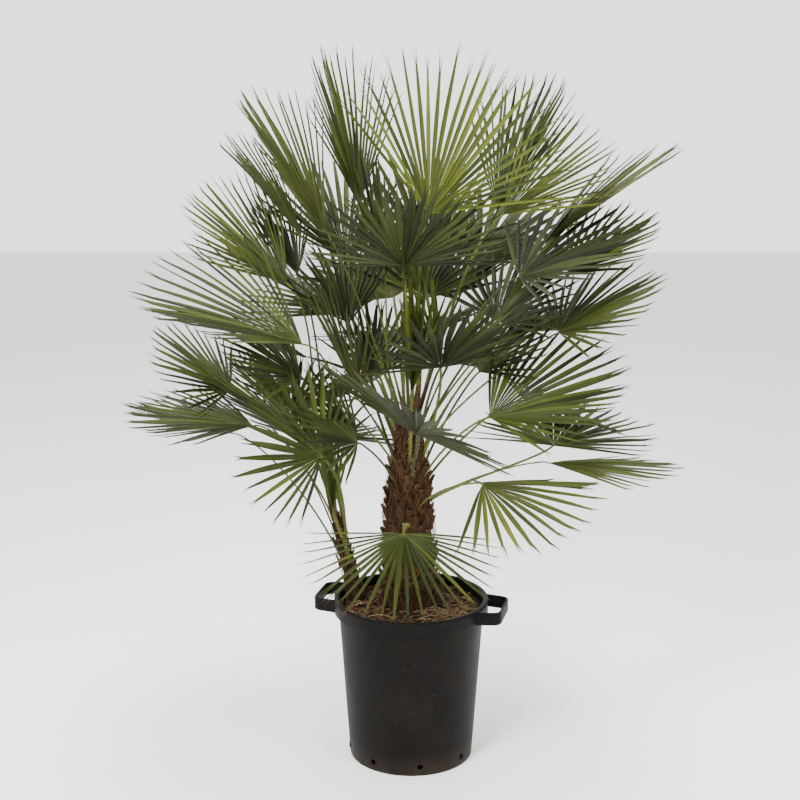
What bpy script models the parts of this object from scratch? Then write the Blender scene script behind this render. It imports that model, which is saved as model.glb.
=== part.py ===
"""European fan palm in a black nursery pot: a main trunk, one sucker and some fifty fan fronds.

Metres, +Z up, with the origin at the centre of the pot's flat underside.
The side that the fronds are named from is the front, at -Y.
"""
import math
import random

import bmesh
import bpy
from mathutils import Vector
from mathutils.bvhtree import BVHTree

# Driving dimensions of the pot
POT_HEIGHT = 0.430
RIM_RADIUS = 0.200
BASE_RADIUS = 0.160
NECK_RADIUS = 0.187
BAND_HEIGHT = 0.037
WALL = 0.003
LIP_RADIUS = 0.186
FLOOR = 0.005
POT_SIDES = 40
SOIL_DROP = 0.026
GAP = 0.0003
TRUNK_GAP = 0.0005

# Drain holes near the foot of the pot
HOLE_COUNT = 8
HOLE_TURN = math.radians(-82)
HOLE_HEIGHT = 0.026
HOLE_RADIUS = 0.0065
HOLE_SIDES = 8

# Strap handles, one at each side of the rim
HANDLE_TURNS = {"pot_handle_right": math.radians(-14), "pot_handle_left": math.radians(166)}
HANDLE_REACH = 0.247
HANDLE_HALF_WIDTH = 0.074
HANDLE_STRAP = 0.006
HANDLE_DROP = 0.002

# Trunks: height above the soil, radius
SOIL_LEVEL = POT_HEIGHT - SOIL_DROP
TRUNK_SIDES = 12
MAIN_FOOT = Vector((0.0, 0.03, SOIL_LEVEL + GAP))
MAIN_PATH = ((0.0, 0.0), (-0.015, -0.01), (0.0, -0.02))
MAIN_TOP = 0.52
MAIN_GIRTH = (
    (0.0, 0.088), (0.05, 0.071), (0.14, 0.062), (0.27, 0.057),
    (0.38, 0.046), (0.45, 0.038), (0.50, 0.026), (0.52, 0.012),
)
SUCKER_FOOT = Vector((-0.141, 0.05, SOIL_LEVEL + GAP))
SUCKER_PATH = ((0.0, 0.0), (-0.030, -0.01), (-0.055, -0.03))
SUCKER_TOP = 0.25
SUCKER_GIRTH = ((0.0, 0.026), (0.04, 0.021), (0.13, 0.019), (0.21, 0.017), (0.25, 0.009))
STUB_COUNT = {"trunk_main": 34, "trunk_sucker": 8}
STUB_LENGTH = 0.030
GOLDEN_TURN = math.radians(137.508)

# Fronds
LEAF_THICKNESS = 0.011
FUSED_SHARE = 0.36
FUSED_SHARE_SIDE = 0.22
SIDE_LENGTH = 0.75
PLEAT = 0.0045
PETIOLE_WIDTH = 0.0055
PETIOLE_SPANS = 4
HUB_WIDTH = 0.0045
ARRIVAL = 0.22
CLEARANCE = 0.0006

# Fronds that the front shows:
# name, trunk, hub, direction of the middle leaflet, direction its upper face looks,
# length of the middle leaflet, spread in degrees, leaflets, fold of the halves in degrees
FRONDS = (
    ("crown_front", "main", (0.04, -0.06, 1.43), (0.37, 0.12, 0.92), (0, -1, 0.2), 0.435, 125, 21, 5),
    ("crown_fore", "main", (-0.02, -0.15, 1.32), (0, -0.66, 0.74), (0, 0.74, 0.66), 0.30, 200, 22, 5),
    ("crown_left", "main", (-0.13, 0.06, 1.44), (-0.20, 0.05, 0.97), (0.9, -0.4, 0.1), 0.42, 100, 18, 12),
    ("high_left", "main", (-0.21, -0.03, 1.39), (-0.50, -0.05, 0.84), (0.8, -0.25, 0.5), 0.41, 100, 18, 15),
    ("high_left_back", "main", (-0.27, 0.08, 1.355), (-0.64, 0.10, 0.76), (0.68, 0.25, 0.6), 0.34, 95, 15, 15),
    ("crown_right", "main", (0.225, 0.02, 1.42), (0.72, 0.05, 0.60), (-0.4, -0.6, 0.5), 0.34, 95, 16, 10),
    ("crown_right_back", "main", (0.21, 0.12, 1.42), (0.33, 0.2, 0.88), (-0.7, -0.5, 0.3), 0.39, 90, 15, 10),
    ("far_right", "main", (0.33, 0.06, 1.345), (0.80, 0.0, 0.54), (-0.55, 0.05, 0.8), 0.43, 100, 16, 15),
    ("right_dark", "main", (0.265, -0.05, 1.28), (0.88, 0.0, 0.38), (-0.42, -0.25, 0.82), 0.345, 180, 18, 10),
    ("right_back", "main", (0.39, 0.05, 1.265), (0.8, 0.1, 0.55), (-0.5, -0.3, 0.8), 0.29, 130, 15, 10),
    ("right_up", "main", (0.36, -0.06, 1.14), (0.83, 0.1, 0.50), (-0.5, -0.22, 0.8), 0.31, 180, 20, 5),
    ("centre_dark", "main", (0.20, -0.02, 1.16), (0.55, 0.3, 0.68), (-0.5, -0.5, 0.6), 0.27, 180, 17, 5),
    ("right_wide", "main", (0.19, -0.12, 0.94), (0.92, 0.05, 0.33), (-0.35, -0.40, 0.75), 0.385, 150, 20, 15),
    ("right_mid", "main", (0.37, 0.10, 0.81), (0.35, 0.9, 0.2), (-0.05, -0.2, 1), 0.31, 190, 19, 0),
    ("right_far", "main", (0.34, -0.10, 0.82), (1, -0.1, 0.0), (0.0, 0.12, 1), 0.345, 110, 16, -5),
    ("right_low", "main", (0.17, -0.22, 0.80), (1, -0.1, 0.0), (0, -0.1, 1), 0.32, 210, 20, -20),
    ("low_front", "main", (-0.02, -0.24, 0.68), (-0.03, -0.85, -0.45), (0, -0.45, 0.85), 0.30, 200, 21, -8),
    ("centre_low", "main", (0.07, -0.14, 1.07), (0.35, -0.6, 0.7), (-0.3, 0.5, 0.8), 0.28, 200, 18, 5),
    ("trunk_front", "main", (0.01, -0.20, 0.92), (-0.2, -0.8, 0.5), (0.5, 0.35, 0.8), 0.32, 210, 18, 5),
    ("inner_left", "main", (-0.155, -0.03, 1.155), (-0.25, 0.1, 0.95), (0.3, -0.85, 0.3), 0.25, 110, 15, 10),
    ("inner_fold", "main", (-0.13, -0.13, 1.00), (-0.42, -0.1, 0.88), (0.85, 0.1, 0.45), 0.31, 110, 15, 30),
    ("inner_small", "main", (-0.10, 0.06, 1.00), (0.1, 0.15, 0.97), (0.3, -0.9, 0.2), 0.22, 130, 14, 10),
    ("spear_tall", "main", (0.0, -0.07, 0.99), (0.0, -0.03, 1), (0.3, -1, 0), 0.32, 60, 9, 60),
    ("spear_side", "main", (0.065, -0.08, 1.06), (-0.12, 0.0, 0.98), (-0.4, -0.9, 0), 0.26, 60, 9, 60),
    ("inner_low", "main", (-0.13, -0.14, 0.88), (-0.75, -0.35, 0.55), (0.4, -0.45, 0.8), 0.27, 150, 16, 8),
    ("inner_right", "main", (0.17, 0.03, 1.02), (0.62, 0.1, 0.72), (-0.6, -0.5, 0.6), 0.27, 140, 16, 8),
    ("inner_top", "main", (0.03, 0.07, 1.20), (0.1, 0.1, 0.98), (0.1, -0.95, 0.1), 0.28, 150, 16, 5),
    ("left_mid", "main", (-0.27, -0.09, 1.03), (-0.8, -0.25, 0.5), (0.45, -0.4, 0.75), 0.25, 140, 15, 10),
    ("left_wide", "sucker", (-0.26, -0.20, 1.14), (-0.93, -0.10, 0.30), (0.3, -0.28, 0.9), 0.445, 125, 21, 22),
    ("left_upper", "sucker", (-0.31, 0.02, 1.25), (-0.67, 0.0, 0.70), (0.55, -0.50, 0.6), 0.345, 100, 18, 10),
    ("left_dark", "sucker", (-0.29, 0.12, 1.25), (-0.40, 0.2, 0.86), (0.8, -0.4, 0.3), 0.26, 100, 14, 10),
    ("left_low", "sucker", (-0.39, -0.12, 0.92), (-1, -0.05, 0.10), (0.15, -0.05, 1), 0.335, 130, 19, 5),
    ("left_far", "sucker", (-0.28, 0.08, 0.83), (-0.78, 0.05, 0.60), (0.6, -0.1, 0.8), 0.35, 120, 18, 10),
    ("left_hang", "sucker", (-0.22, -0.20, 0.86), (-0.62, -0.35, 0.7), (-0.1, -0.8, 0.5), 0.25, 250, 18, -8),
    ("left_spear", "sucker", (-0.19, -0.03, 0.68), (-0.08, 0, 1), (0.2, -1, 0), 0.23, 60, 7, 60),
)
# Fronds behind, by rule: name, trunk, count, crown centre, petiole reach, azimuths, elevations, blade, seed
BACK_FRONDS = (
    ("back", "main", 17, (0.0, 0.02, 0.93), (0.34, 0.46), (35, 150), (-8, 78), (0.30, 0.38), 7),
    ("back_left", "sucker", 5, (-0.19, 0.05, 0.72), (0.30, 0.40), (95, 200), (0, 60), (0.26, 0.33), 11),
)
NUDGES = 200
SEED = 41


def clear_scene():
    for obj in list(bpy.data.objects):
        bpy.data.objects.remove(obj)


def material(name, colour, roughness, metallic=0.0):
    mat = bpy.data.materials.new(name)
    mat.use_nodes = True
    shader = mat.node_tree.nodes["Principled BSDF"]
    shader.inputs["Base Color"].default_value = (*colour, 1.0)
    shader.inputs["Roughness"].default_value = roughness
    shader.inputs["Metallic"].default_value = metallic
    return mat


def object_from(name, points, faces, mat=None):
    """One mesh object with its faces turned outwards."""
    mesh = bpy.data.meshes.new(name)
    mesh.from_pydata([tuple(p) for p in points], [], faces)
    shell = bmesh.new()
    shell.from_mesh(mesh)
    bmesh.ops.recalc_face_normals(shell, faces=shell.faces)
    bmesh.ops.triangulate(shell, faces=shell.faces)
    shell.to_mesh(mesh)
    shell.free()
    obj = bpy.data.objects.new(name, mesh)
    bpy.context.scene.collection.objects.link(obj)
    if mat:
        mesh.materials.append(mat)
    return obj


def smooth(obj, degrees=35):
    obj.data.shade_smooth()
    obj.data.set_sharp_from_angle(angle=math.radians(degrees))


def bake_modifiers(obj):
    """Turns the evaluated mesh into the object's own mesh."""
    bpy.context.view_layer.update()
    graph = bpy.context.evaluated_depsgraph_get()
    baked = bpy.data.meshes.new_from_object(obj.evaluated_get(graph))
    obj.modifiers.clear()
    obj.data = baked


def keep_largest(obj):
    """Drops loose scraps that a cut leaves beside the main body."""
    shell = bmesh.new()
    shell.from_mesh(obj.data)
    left = set(shell.verts)
    islands = []
    while left:
        island, front = set(), [left.pop()]
        while front:
            vert = front.pop()
            island.add(vert)
            for edge in vert.link_edges:
                other = edge.other_vert(vert)
                if other in left:
                    left.remove(other)
                    front.append(other)
        islands.append(island)
    islands.sort(key=len)
    for island in islands[:-1]:
        bmesh.ops.delete(shell, geom=list(island), context="VERTS")
    shell.to_mesh(obj.data)
    shell.free()


def joined(base, others, operation="UNION"):
    """Boolean of base with a collection of others, applied, and the others removed."""
    tools = bpy.data.collections.new("tools")
    bpy.context.scene.collection.children.link(tools)
    for other in others:
        tools.objects.link(other)
    cut = base.modifiers.new("join", "BOOLEAN")
    cut.operation = operation
    cut.operand_type = "COLLECTION"
    cut.collection = tools
    cut.solver = "MANIFOLD"
    bake_modifiers(base)
    for other in others:
        bpy.data.objects.remove(other)
    bpy.data.collections.remove(tools)
    return base


def lathe(name, profile, mat, sides=POT_SIDES):
    """Turns an outline of (radius, height) points round the Z axis."""
    shell = bmesh.new()
    verts = [shell.verts.new((radius, 0.0, height)) for radius, height in profile]
    for first, second in zip(verts, verts[1:]):
        shell.edges.new((first, second))
    bmesh.ops.spin(shell, geom=shell.verts[:] + shell.edges[:], cent=(0, 0, 0), axis=(0, 0, 1),
                   angle=math.tau, steps=sides, use_merge=True)
    bmesh.ops.remove_doubles(shell, verts=shell.verts, dist=1e-6)
    bmesh.ops.recalc_face_normals(shell, faces=shell.faces)
    mesh = bpy.data.meshes.new(name)
    shell.to_mesh(mesh)
    shell.free()
    mesh.materials.append(mat)
    obj = bpy.data.objects.new(name, mesh)
    bpy.context.scene.collection.objects.link(obj)
    return obj


def wall_radius(height):
    """Outer radius of the pot's tapered wall at a height."""
    neck = POT_HEIGHT - BAND_HEIGHT
    return BASE_RADIUS + (NECK_RADIUS - BASE_RADIUS) * height / neck


def make_pot(mat):
    neck = POT_HEIGHT - BAND_HEIGHT
    foot = 0.004
    lip = 0.004
    profile = [(0.0, 0.0), (BASE_RADIUS - foot, 0.0), (BASE_RADIUS, foot)]
    profile += [(wall_radius(neck), neck), (RIM_RADIUS - 0.002, neck), (RIM_RADIUS, neck + 0.003)]
    profile += [(RIM_RADIUS, POT_HEIGHT - lip), (RIM_RADIUS - lip / 2, POT_HEIGHT)]
    profile += [(LIP_RADIUS + lip / 2, POT_HEIGHT), (LIP_RADIUS, POT_HEIGHT - lip)]
    profile += [(wall_radius(neck) - WALL, neck - 0.004), (wall_radius(FLOOR) - WALL, FLOOR), (0.0, FLOOR)]
    pot = lathe("pot", profile, mat)
    drills = []
    for k in range(HOLE_COUNT):
        turn = HOLE_TURN + k * math.tau / HOLE_COUNT
        radius = wall_radius(HOLE_HEIGHT)
        rings = []
        for reach in (radius - 3 * WALL, radius + 2 * WALL):
            ring = []
            for j in range(HOLE_SIDES):
                angle = j * math.tau / HOLE_SIDES
                side = HOLE_RADIUS * math.cos(angle)
                ring.append(Vector((reach * math.cos(turn) - side * math.sin(turn),
                                    reach * math.sin(turn) + side * math.cos(turn),
                                    HOLE_HEIGHT + HOLE_RADIUS * math.sin(angle))))
            rings.append(ring)
        drills.append(tube_object(f"drill_{k}", rings))
    joined(pot, drills, "DIFFERENCE")
    smooth(pot)
    return pot


def tube_object(name, rings, mat=None):
    """Closed tube through rings of points."""
    sides = len(rings[0])
    points = [p for ring in rings for p in ring]
    faces = [tuple(range(sides)), tuple(range(len(points) - sides, len(points)))]
    for i in range(len(rings) - 1):
        for j in range(sides):
            near, far = i * sides + j, i * sides + (j + 1) % sides
            faces.append((near, far, far + sides, near + sides))
    return object_from(name, points, faces, mat)


def make_soil(mat):
    reach = wall_radius(SOIL_LEVEL) - WALL - GAP
    foot = wall_radius(FLOOR) - WALL - GAP
    neck = POT_HEIGHT - BAND_HEIGHT - 0.004
    collar = min(reach, LIP_RADIUS - GAP)
    profile = [(0.0, FLOOR + GAP), (foot, FLOOR + GAP), (wall_radius(neck) - WALL - GAP, neck - GAP)]
    profile += [(collar - 0.001, SOIL_LEVEL - 0.002), (collar - 0.004, SOIL_LEVEL), (0.0, SOIL_LEVEL)]
    soil = lathe("soil", profile, mat)
    smooth(soil)
    return soil


def make_handle(name, turn, mat):
    """A strap bent out from the rim: two shoulders, two round corners and a flat grip."""
    half = HANDLE_HALF_WIDTH
    root = math.sqrt((RIM_RADIUS + GAP) ** 2 - half ** 2)
    corner = 0.022
    path = [(root, -half), (HANDLE_REACH - corner - 0.006, -half + 0.006)]
    for k in range(5):
        angle = math.radians(-78 + k * 78 / 4)
        bend = (HANDLE_REACH - corner, 0.030 - half)
        path.append((bend[0] + corner * math.cos(angle), bend[1] + corner * math.sin(angle)))
    path += [(x, -y) for x, y in reversed(path)]
    top, low = POT_HEIGHT - HANDLE_DROP, POT_HEIGHT - BAND_HEIGHT + 0.001
    rings = []
    for i, (x, y) in enumerate(path):
        before, after = path[max(i - 1, 0)], path[min(i + 1, len(path) - 1)]
        ahead = Vector((after[0] - before[0], after[1] - before[1], 0)).normalized()
        inward = Vector((-ahead.y, ahead.x, 0)) * HANDLE_STRAP
        if i in (0, len(path) - 1):
            inward = Vector((0, math.copysign(HANDLE_STRAP, -y), 0))
        outer = Vector((x, y, 0))
        inner = outer + inward
        if i in (0, len(path) - 1):
            inner.x = math.sqrt((RIM_RADIUS + GAP) ** 2 - inner.y ** 2)
        ring = [outer + Vector((0, 0, low)), outer + Vector((0, 0, top)),
                inner + Vector((0, 0, top)), inner + Vector((0, 0, low))]
        rings.append([Vector((p.x * math.cos(turn) - p.y * math.sin(turn),
                              p.x * math.sin(turn) + p.y * math.cos(turn), p.z)) for p in ring])
    return tube_object(name, rings, mat)


def girth_at(girth, height):
    for (low, thick), (high, thin) in zip(girth, girth[1:]):
        if height <= high:
            share = (height - low) / (high - low)
            return thick + (thin - thick) * max(share, 0.0)
    return girth[-1][1]


def axis_at(foot, path, top, height):
    """Point on a trunk's curved axis: a quadratic bend through the path's offsets."""
    share = height / top
    start, middle, end = (Vector((x, y, 0)) for x, y in path)
    bend = start * (1 - share) ** 2 + middle * 2 * share * (1 - share) + end * share ** 2
    return foot + bend + Vector((0, 0, height))


def trunk_shell(name, foot, path, top, girth, stubs, grow, mat=None):
    """Tapered trunk with its flare, and the stubs of old leaf bases in a spiral."""
    rings = []
    for height, radius in girth:
        centre = axis_at(foot, path, top, height)
        ring = []
        for j in range(TRUNK_SIDES):
            angle = j * math.tau / TRUNK_SIDES
            flute = 1 + 0.06 * math.sin(3 * angle + 9 * height)
            reach = radius * flute + grow
            ring.append(centre + Vector((reach * math.cos(angle), reach * math.sin(angle), 0)))
        rings.append(ring)
    rings[0] = [p + Vector((0, 0, -grow)) for p in rings[0]]
    rings[-1] = [p + Vector((0, 0, grow)) for p in rings[-1]]
    trunk = tube_object(name, rings, mat)
    stub_objects = []
    for k in range(stubs):
        share = (k + 0.5) / stubs
        height = top * (0.06 + 0.68 * share)
        angle = k * GOLDEN_TURN
        radius = girth_at(girth, height)
        out = Vector((math.cos(angle), math.sin(angle), 0))
        side = Vector((-math.sin(angle), math.cos(angle), 0))
        root = axis_at(foot, path, top, height) + out * radius * 0.86
        width = radius * 0.42
        length = STUB_LENGTH * (radius / 0.06) ** 0.5
        low = root - Vector((0, 0, length * 0.55))
        tip = root + out * length * 0.42 + Vector((0, 0, length * 0.55))
        beyond = (tip - low).normalized() * grow
        rings = []
        for centre, wide, deep in ((low - beyond, width, 0.007), (tip + beyond, width * 0.55, 0.0035)):
            wide, deep = wide + 2 * grow, deep + 2 * grow
            spread, depth = side * wide, out * deep
            rings.append([centre - spread, centre - depth, centre + spread, centre + depth])
        stub_objects.append(tube_object(f"{name}_stub_{k}", rings))
    return joined(trunk, stub_objects)


TRUNKS = {
    "main": ("trunk_main", MAIN_FOOT, MAIN_PATH, MAIN_TOP, MAIN_GIRTH),
    "sucker": ("trunk_sucker", SUCKER_FOOT, SUCKER_PATH, SUCKER_TOP, SUCKER_GIRTH),
}
# Where the petioles leave each trunk: heights above the foot, and the hub heights they serve
PETIOLE_ZONE = {"main": (0.19, 0.50, 0.66, 1.46), "sucker": (0.10, 0.24, 0.80, 1.28)}


class Frond:
    """Where a frond stands: the hub where the petiole ends, its blade's directions and sizes."""

    def __init__(self, name, trunk, hub, along, face, reach, spread, leaflets, fold):
        self.name = name
        self.trunk = trunk
        self.hub = Vector(hub)
        self.along = Vector(along).normalized()
        face = Vector(face)
        self.face = (face - self.along * face.dot(self.along)).normalized()
        self.side = self.along.cross(self.face)
        self.reach = reach
        self.spread = math.radians(spread)
        self.leaflets = leaflets
        self.fold = math.radians(fold)
        self.turn = 0.0
        self.lift = 0.0

    def direction(self, angle):
        side = self.side * math.cos(self.fold) * math.sin(angle)
        rise = self.face * math.sin(self.fold) * abs(math.sin(angle))
        return (self.along * math.cos(angle) + side + rise).normalized()

    def length(self, angle):
        return self.reach * (1 - (1 - SIDE_LENGTH) * math.sin(angle / 2) ** 2)

    def fused(self, angle):
        share = abs(angle) / (self.spread / 2)
        return self.length(angle) * (FUSED_SHARE + (FUSED_SHARE_SIDE - FUSED_SHARE) * share)

    def angle(self, k):
        return (k / self.leaflets - 0.5) * self.spread


def petiole_path(frond):
    """Cubic curve from the trunk's axis, up and out, arriving at the hub along the blade."""
    _, foot, path, top, girth = TRUNKS[frond.trunk]
    low, high, hub_low, hub_high = PETIOLE_ZONE[frond.trunk]
    share = min(max((frond.hub.z - hub_low) / (hub_high - hub_low), 0.0), 1.0)
    height = min(low + (high - low) * share + frond.lift, top - 0.02)
    axis = axis_at(foot, path, top, height)
    out = frond.hub - axis
    azimuth = math.atan2(out.y, out.x) + frond.turn
    flat = Vector((math.cos(azimuth), math.sin(azimuth), 0))
    start = axis + flat * girth_at(girth, height) * 0.35
    span = (frond.hub - start).length
    climb = max(frond.hub.z - start.z, 0.25 * span)
    first = start + flat * span * 0.13 + Vector((0, 0, climb * 0.42))
    second = frond.hub - frond.along * span * ARRIVAL
    points = []
    for k in range(PETIOLE_SPANS):
        t = k / PETIOLE_SPANS
        points.append(start * (1 - t) ** 3 + first * 3 * t * (1 - t) ** 2
                      + second * 3 * t ** 2 * (1 - t) + frond.hub * t ** 3)
    return points


def hub_ring(frond, grow=0.0):
    """The four corners where the petiole becomes the blade."""
    wide = frond.side * (HUB_WIDTH + grow)
    thick = frond.face * (frond.reach * LEAF_THICKNESS / 2 + grow)
    left, right = frond.hub - wide, frond.hub + wide
    return [left + thick, right + thick, right - thick, left - thick]


def petiole_rings(frond, grow=0.0):
    """Four-sided rings, flat on top, from inside the trunk to just short of the hub."""
    points = petiole_path(frond)
    ends = points + [frond.hub]
    rings = []
    for i, centre in enumerate(points):
        ahead = (ends[i + 1] - ends[max(i - 1, 0)]).normalized()
        side = (frond.side - ahead * frond.side.dot(ahead)).normalized()
        up = side.cross(ahead)
        share = i / PETIOLE_SPANS
        width = PETIOLE_WIDTH + (HUB_WIDTH - PETIOLE_WIDTH) * share + grow
        deep = width * 0.7
        rings.append([centre - side * width + up * deep, centre + side * width + up * deep,
                      centre + side * width * 0.7 - up * deep, centre - side * width * 0.7 - up * deep])
    return rings


def frond_parts(frond, tips, grow=0.0):
    """Points and faces of petiole and blade as one closed skin.

    The palm is pleated, with valleys at the midribs and ridges between them,
    and its outline is cut to the ridge between neighbouring leaflets.
    """
    rings = petiole_rings(frond, grow) + [hub_ring(frond, grow)]
    points = [p for ring in rings for p in ring]
    faces = [(3, 2, 1, 0)]
    for i in range(len(rings) - 1):
        for j in range(4):
            near, far = i * 4 + j, i * 4 + (j + 1) % 4
            faces.append((near, far, far + 4, near + 4))
    hub = len(points) - 4
    thick = frond.face * (frond.reach * LEAF_THICKNESS / 2 + grow)
    pleat = frond.face * PLEAT
    count = frond.leaflets
    edge_top = len(points)
    edges = []
    for k in range(count + 1):
        angle = frond.angle(k)
        edges.append(frond.hub + frond.direction(angle) * frond.fused(angle) + pleat)
    ribs = []
    for k in range(count):
        angle = frond.angle(k + 0.5)
        ribs.append(frond.hub + frond.direction(angle) * frond.fused(angle) * 1.04 - pleat)
    points += [p + thick for p in edges] + [p - thick for p in edges]
    points += [p + thick for p in ribs] + [p - thick for p in ribs] + list(tips)
    edge_low = edge_top + count + 1
    rib_top = edge_low + count + 1
    rib_low = rib_top + count
    tip = rib_low + count
    half = count // 2
    for k in range(count):
        top, low = (hub, hub + 3) if k < half else (hub + 1, hub + 2)
        faces += [(top, edge_top + k, rib_top + k), (top, rib_top + k, edge_top + k + 1)]
        faces += [(edge_top + k, tip + k, rib_top + k), (rib_top + k, tip + k, edge_top + k + 1)]
        faces += [(low, rib_low + k, edge_low + k), (low, edge_low + k + 1, rib_low + k)]
        faces += [(edge_low + k, rib_low + k, tip + k), (rib_low + k, edge_low + k + 1, tip + k)]
        faces += [(edge_top + k, edge_low + k, tip + k), (edge_top + k + 1, tip + k, edge_low + k + 1)]
    faces += [(hub, edge_top + half, hub + 1), (hub + 3, hub + 2, edge_low + half)]
    faces += [(hub, hub + 3, edge_low, edge_top), (hub + 1, edge_top + count, edge_low + count, hub + 2)]
    return points, faces


def tip_of(frond, k, bend, share):
    """Tip of leaflet k: share of its full length past the palm, bent up or down by an angle."""
    angle = frond.angle(k + 0.5)
    way = frond.direction(angle)
    fused = frond.fused(angle)
    free = (frond.length(angle) - fused) * share
    root = frond.hub + way * fused
    return root + way * free * math.cos(bend) + frond.face * free * math.sin(bend)


def stub_tip(frond, k):
    angle = frond.angle(k + 0.5)
    return frond.hub + frond.direction(angle) * frond.fused(angle) * 1.18


def tree_of(points, faces):
    return BVHTree.FromPolygons([tuple(p) for p in points], faces)


def box_of(points):
    lows = [min(p[i] for p in points) for i in range(3)]
    highs = [max(p[i] for p in points) for i in range(3)]
    return lows, highs


class Space:
    """What is already placed: a list of surfaces that a new piece must not touch."""

    def __init__(self):
        self.taken = []

    def add(self, owner, points, faces):
        self.taken.append((owner, box_of(points), tree_of(points, faces)))

    def hits(self, owner, points, faces):
        lows, highs = box_of(points)
        tree = None
        for other, (low, high), surface in self.taken:
            if other == owner:
                continue
            if any(highs[i] < low[i] or lows[i] > high[i] for i in range(3)):
                continue
            tree = tree or tree_of(points, faces)
            if tree.overlap(surface):
                return other
        return None


def add_object(space, obj):
    points = [obj.matrix_world @ v.co for v in obj.data.vertices]
    space.add(obj.name, points, [tuple(p.vertices) for p in obj.data.polygons])


def nudge(frond, hub, attempt):
    """Shifts the hub and turns the petiole's foot a little, further with each attempt."""
    rng = random.Random(SEED + attempt)
    share = min(attempt, 1) * (0.25 + attempt / NUDGES)
    frond.turn = rng.uniform(-1, 1) * share
    frond.lift = rng.uniform(-0.05, 0.05) * share
    shift = Vector((rng.uniform(-0.015, 0.015), rng.uniform(-0.075, 0.075), rng.uniform(-0.015, 0.015)))
    frond.hub = hub + shift * share


def place(frond, space):
    """Nudges a frond until its petiole and palm are clear of what is placed."""
    hub = frond.hub.copy()
    for attempt in range(NUDGES):
        nudge(frond, hub, attempt)
        tips = [stub_tip(frond, k) for k in range(frond.leaflets)]
        points, faces = frond_parts(frond, tips, CLEARANCE)
        if not space.hits(TRUNKS[frond.trunk][0], points, faces):
            space.add(frond.name, points, faces)
            return True
    print("no room for", frond.name)
    return False


def leaflet_parts(frond, k, tip):
    """The free part of one leaflet, a little swollen, for the clearance test."""
    thick = frond.face * (frond.reach * LEAF_THICKNESS / 2 + CLEARANCE)
    pleat = frond.face * PLEAT
    root = []
    for step, rise, share in ((k, pleat, 1.0), (k + 0.5, -pleat, 1.04), (k + 1, pleat, 1.0)):
        angle = frond.angle(step)
        root.append(frond.hub + frond.direction(angle) * frond.fused(angle) * share + rise)
    points = [p + thick for p in root] + [p - thick for p in root] + [tip]
    faces = [(0, 6, 1), (1, 6, 2), (3, 4, 6), (4, 5, 6), (0, 3, 6), (2, 6, 5)]
    return points, faces


BENDS = (0, 4, -4, 8, -8, 12, -12)
SHARES = (1.0, 0.8, 0.6, 0.42)


def grow_leaflets(frond, space, counts):
    """Tips of the leaflets: full length where there is room, bent or shorter where not."""
    tips = []
    grown_points, grown_faces = [], []
    for k in range(frond.leaflets):
        chosen = None
        for share in SHARES:
            for degrees in BENDS:
                tip = tip_of(frond, k, math.radians(degrees), share)
                points, faces = leaflet_parts(frond, k, tip)
                if not space.hits(frond.name, points, faces):
                    chosen = tip
                    break
            if chosen:
                break
        counts[share if chosen else 0] = counts.get(share if chosen else 0, 0) + 1
        if chosen:
            start = len(grown_points)
            grown_points += points
            grown_faces += [tuple(i + start for i in f) for f in faces]
        tips.append(chosen or stub_tip(frond, k))
    if grown_points:
        space.add(frond.name, grown_points, grown_faces)
    return tips


def back_fronds():
    """Fronds of the far side, stepped round by the golden angle within each crown's back."""
    found = []
    for prefix, trunk, count, centre, reach, azimuths, elevations, blade, seed in BACK_FRONDS:
        rng = random.Random(seed)
        for k in range(count):
            share = (k + 0.5) / count
            azimuth = math.radians(azimuths[0] + (k * 0.618034 % 1.0) * (azimuths[1] - azimuths[0]))
            elevation = math.radians(elevations[0] + share * (elevations[1] - elevations[0]))
            span = reach[0] + rng.random() * (reach[1] - reach[0])
            flat = Vector((math.cos(azimuth), math.sin(azimuth), 0))
            out = flat * math.cos(elevation) + Vector((0, 0, math.sin(elevation)))
            hub = Vector(centre) + out * span
            droop = math.radians(rng.uniform(-18, 4))
            lean = elevation + droop
            along = flat * math.cos(lean) + Vector((0, 0, math.sin(lean)))
            face = Vector((0, 0, math.cos(lean))) - flat * math.sin(lean)
            face += flat.cross(Vector((0, 0, 1))) * rng.uniform(-0.5, 0.5)
            size = blade[0] + rng.random() * (blade[1] - blade[0])
            found.append(Frond(f"{prefix}_{k + 1:02d}", trunk, hub, along, face, size,
                               rng.uniform(130, 190), 16 + k % 3, rng.uniform(0, 20)))
    return found


def make_frond(frond, tips, mat, cutters):
    blade = object_from(f"frond_{frond.name}", *frond_parts(frond, tips), mat)
    cut = blade.modifiers.new("clear", "BOOLEAN")
    cut.operation = "DIFFERENCE"
    cut.object = cutters[frond.trunk]
    cut.solver = "MANIFOLD"
    bake_modifiers(blade)
    keep_largest(blade)
    smooth(blade, 20)
    return blade


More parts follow.
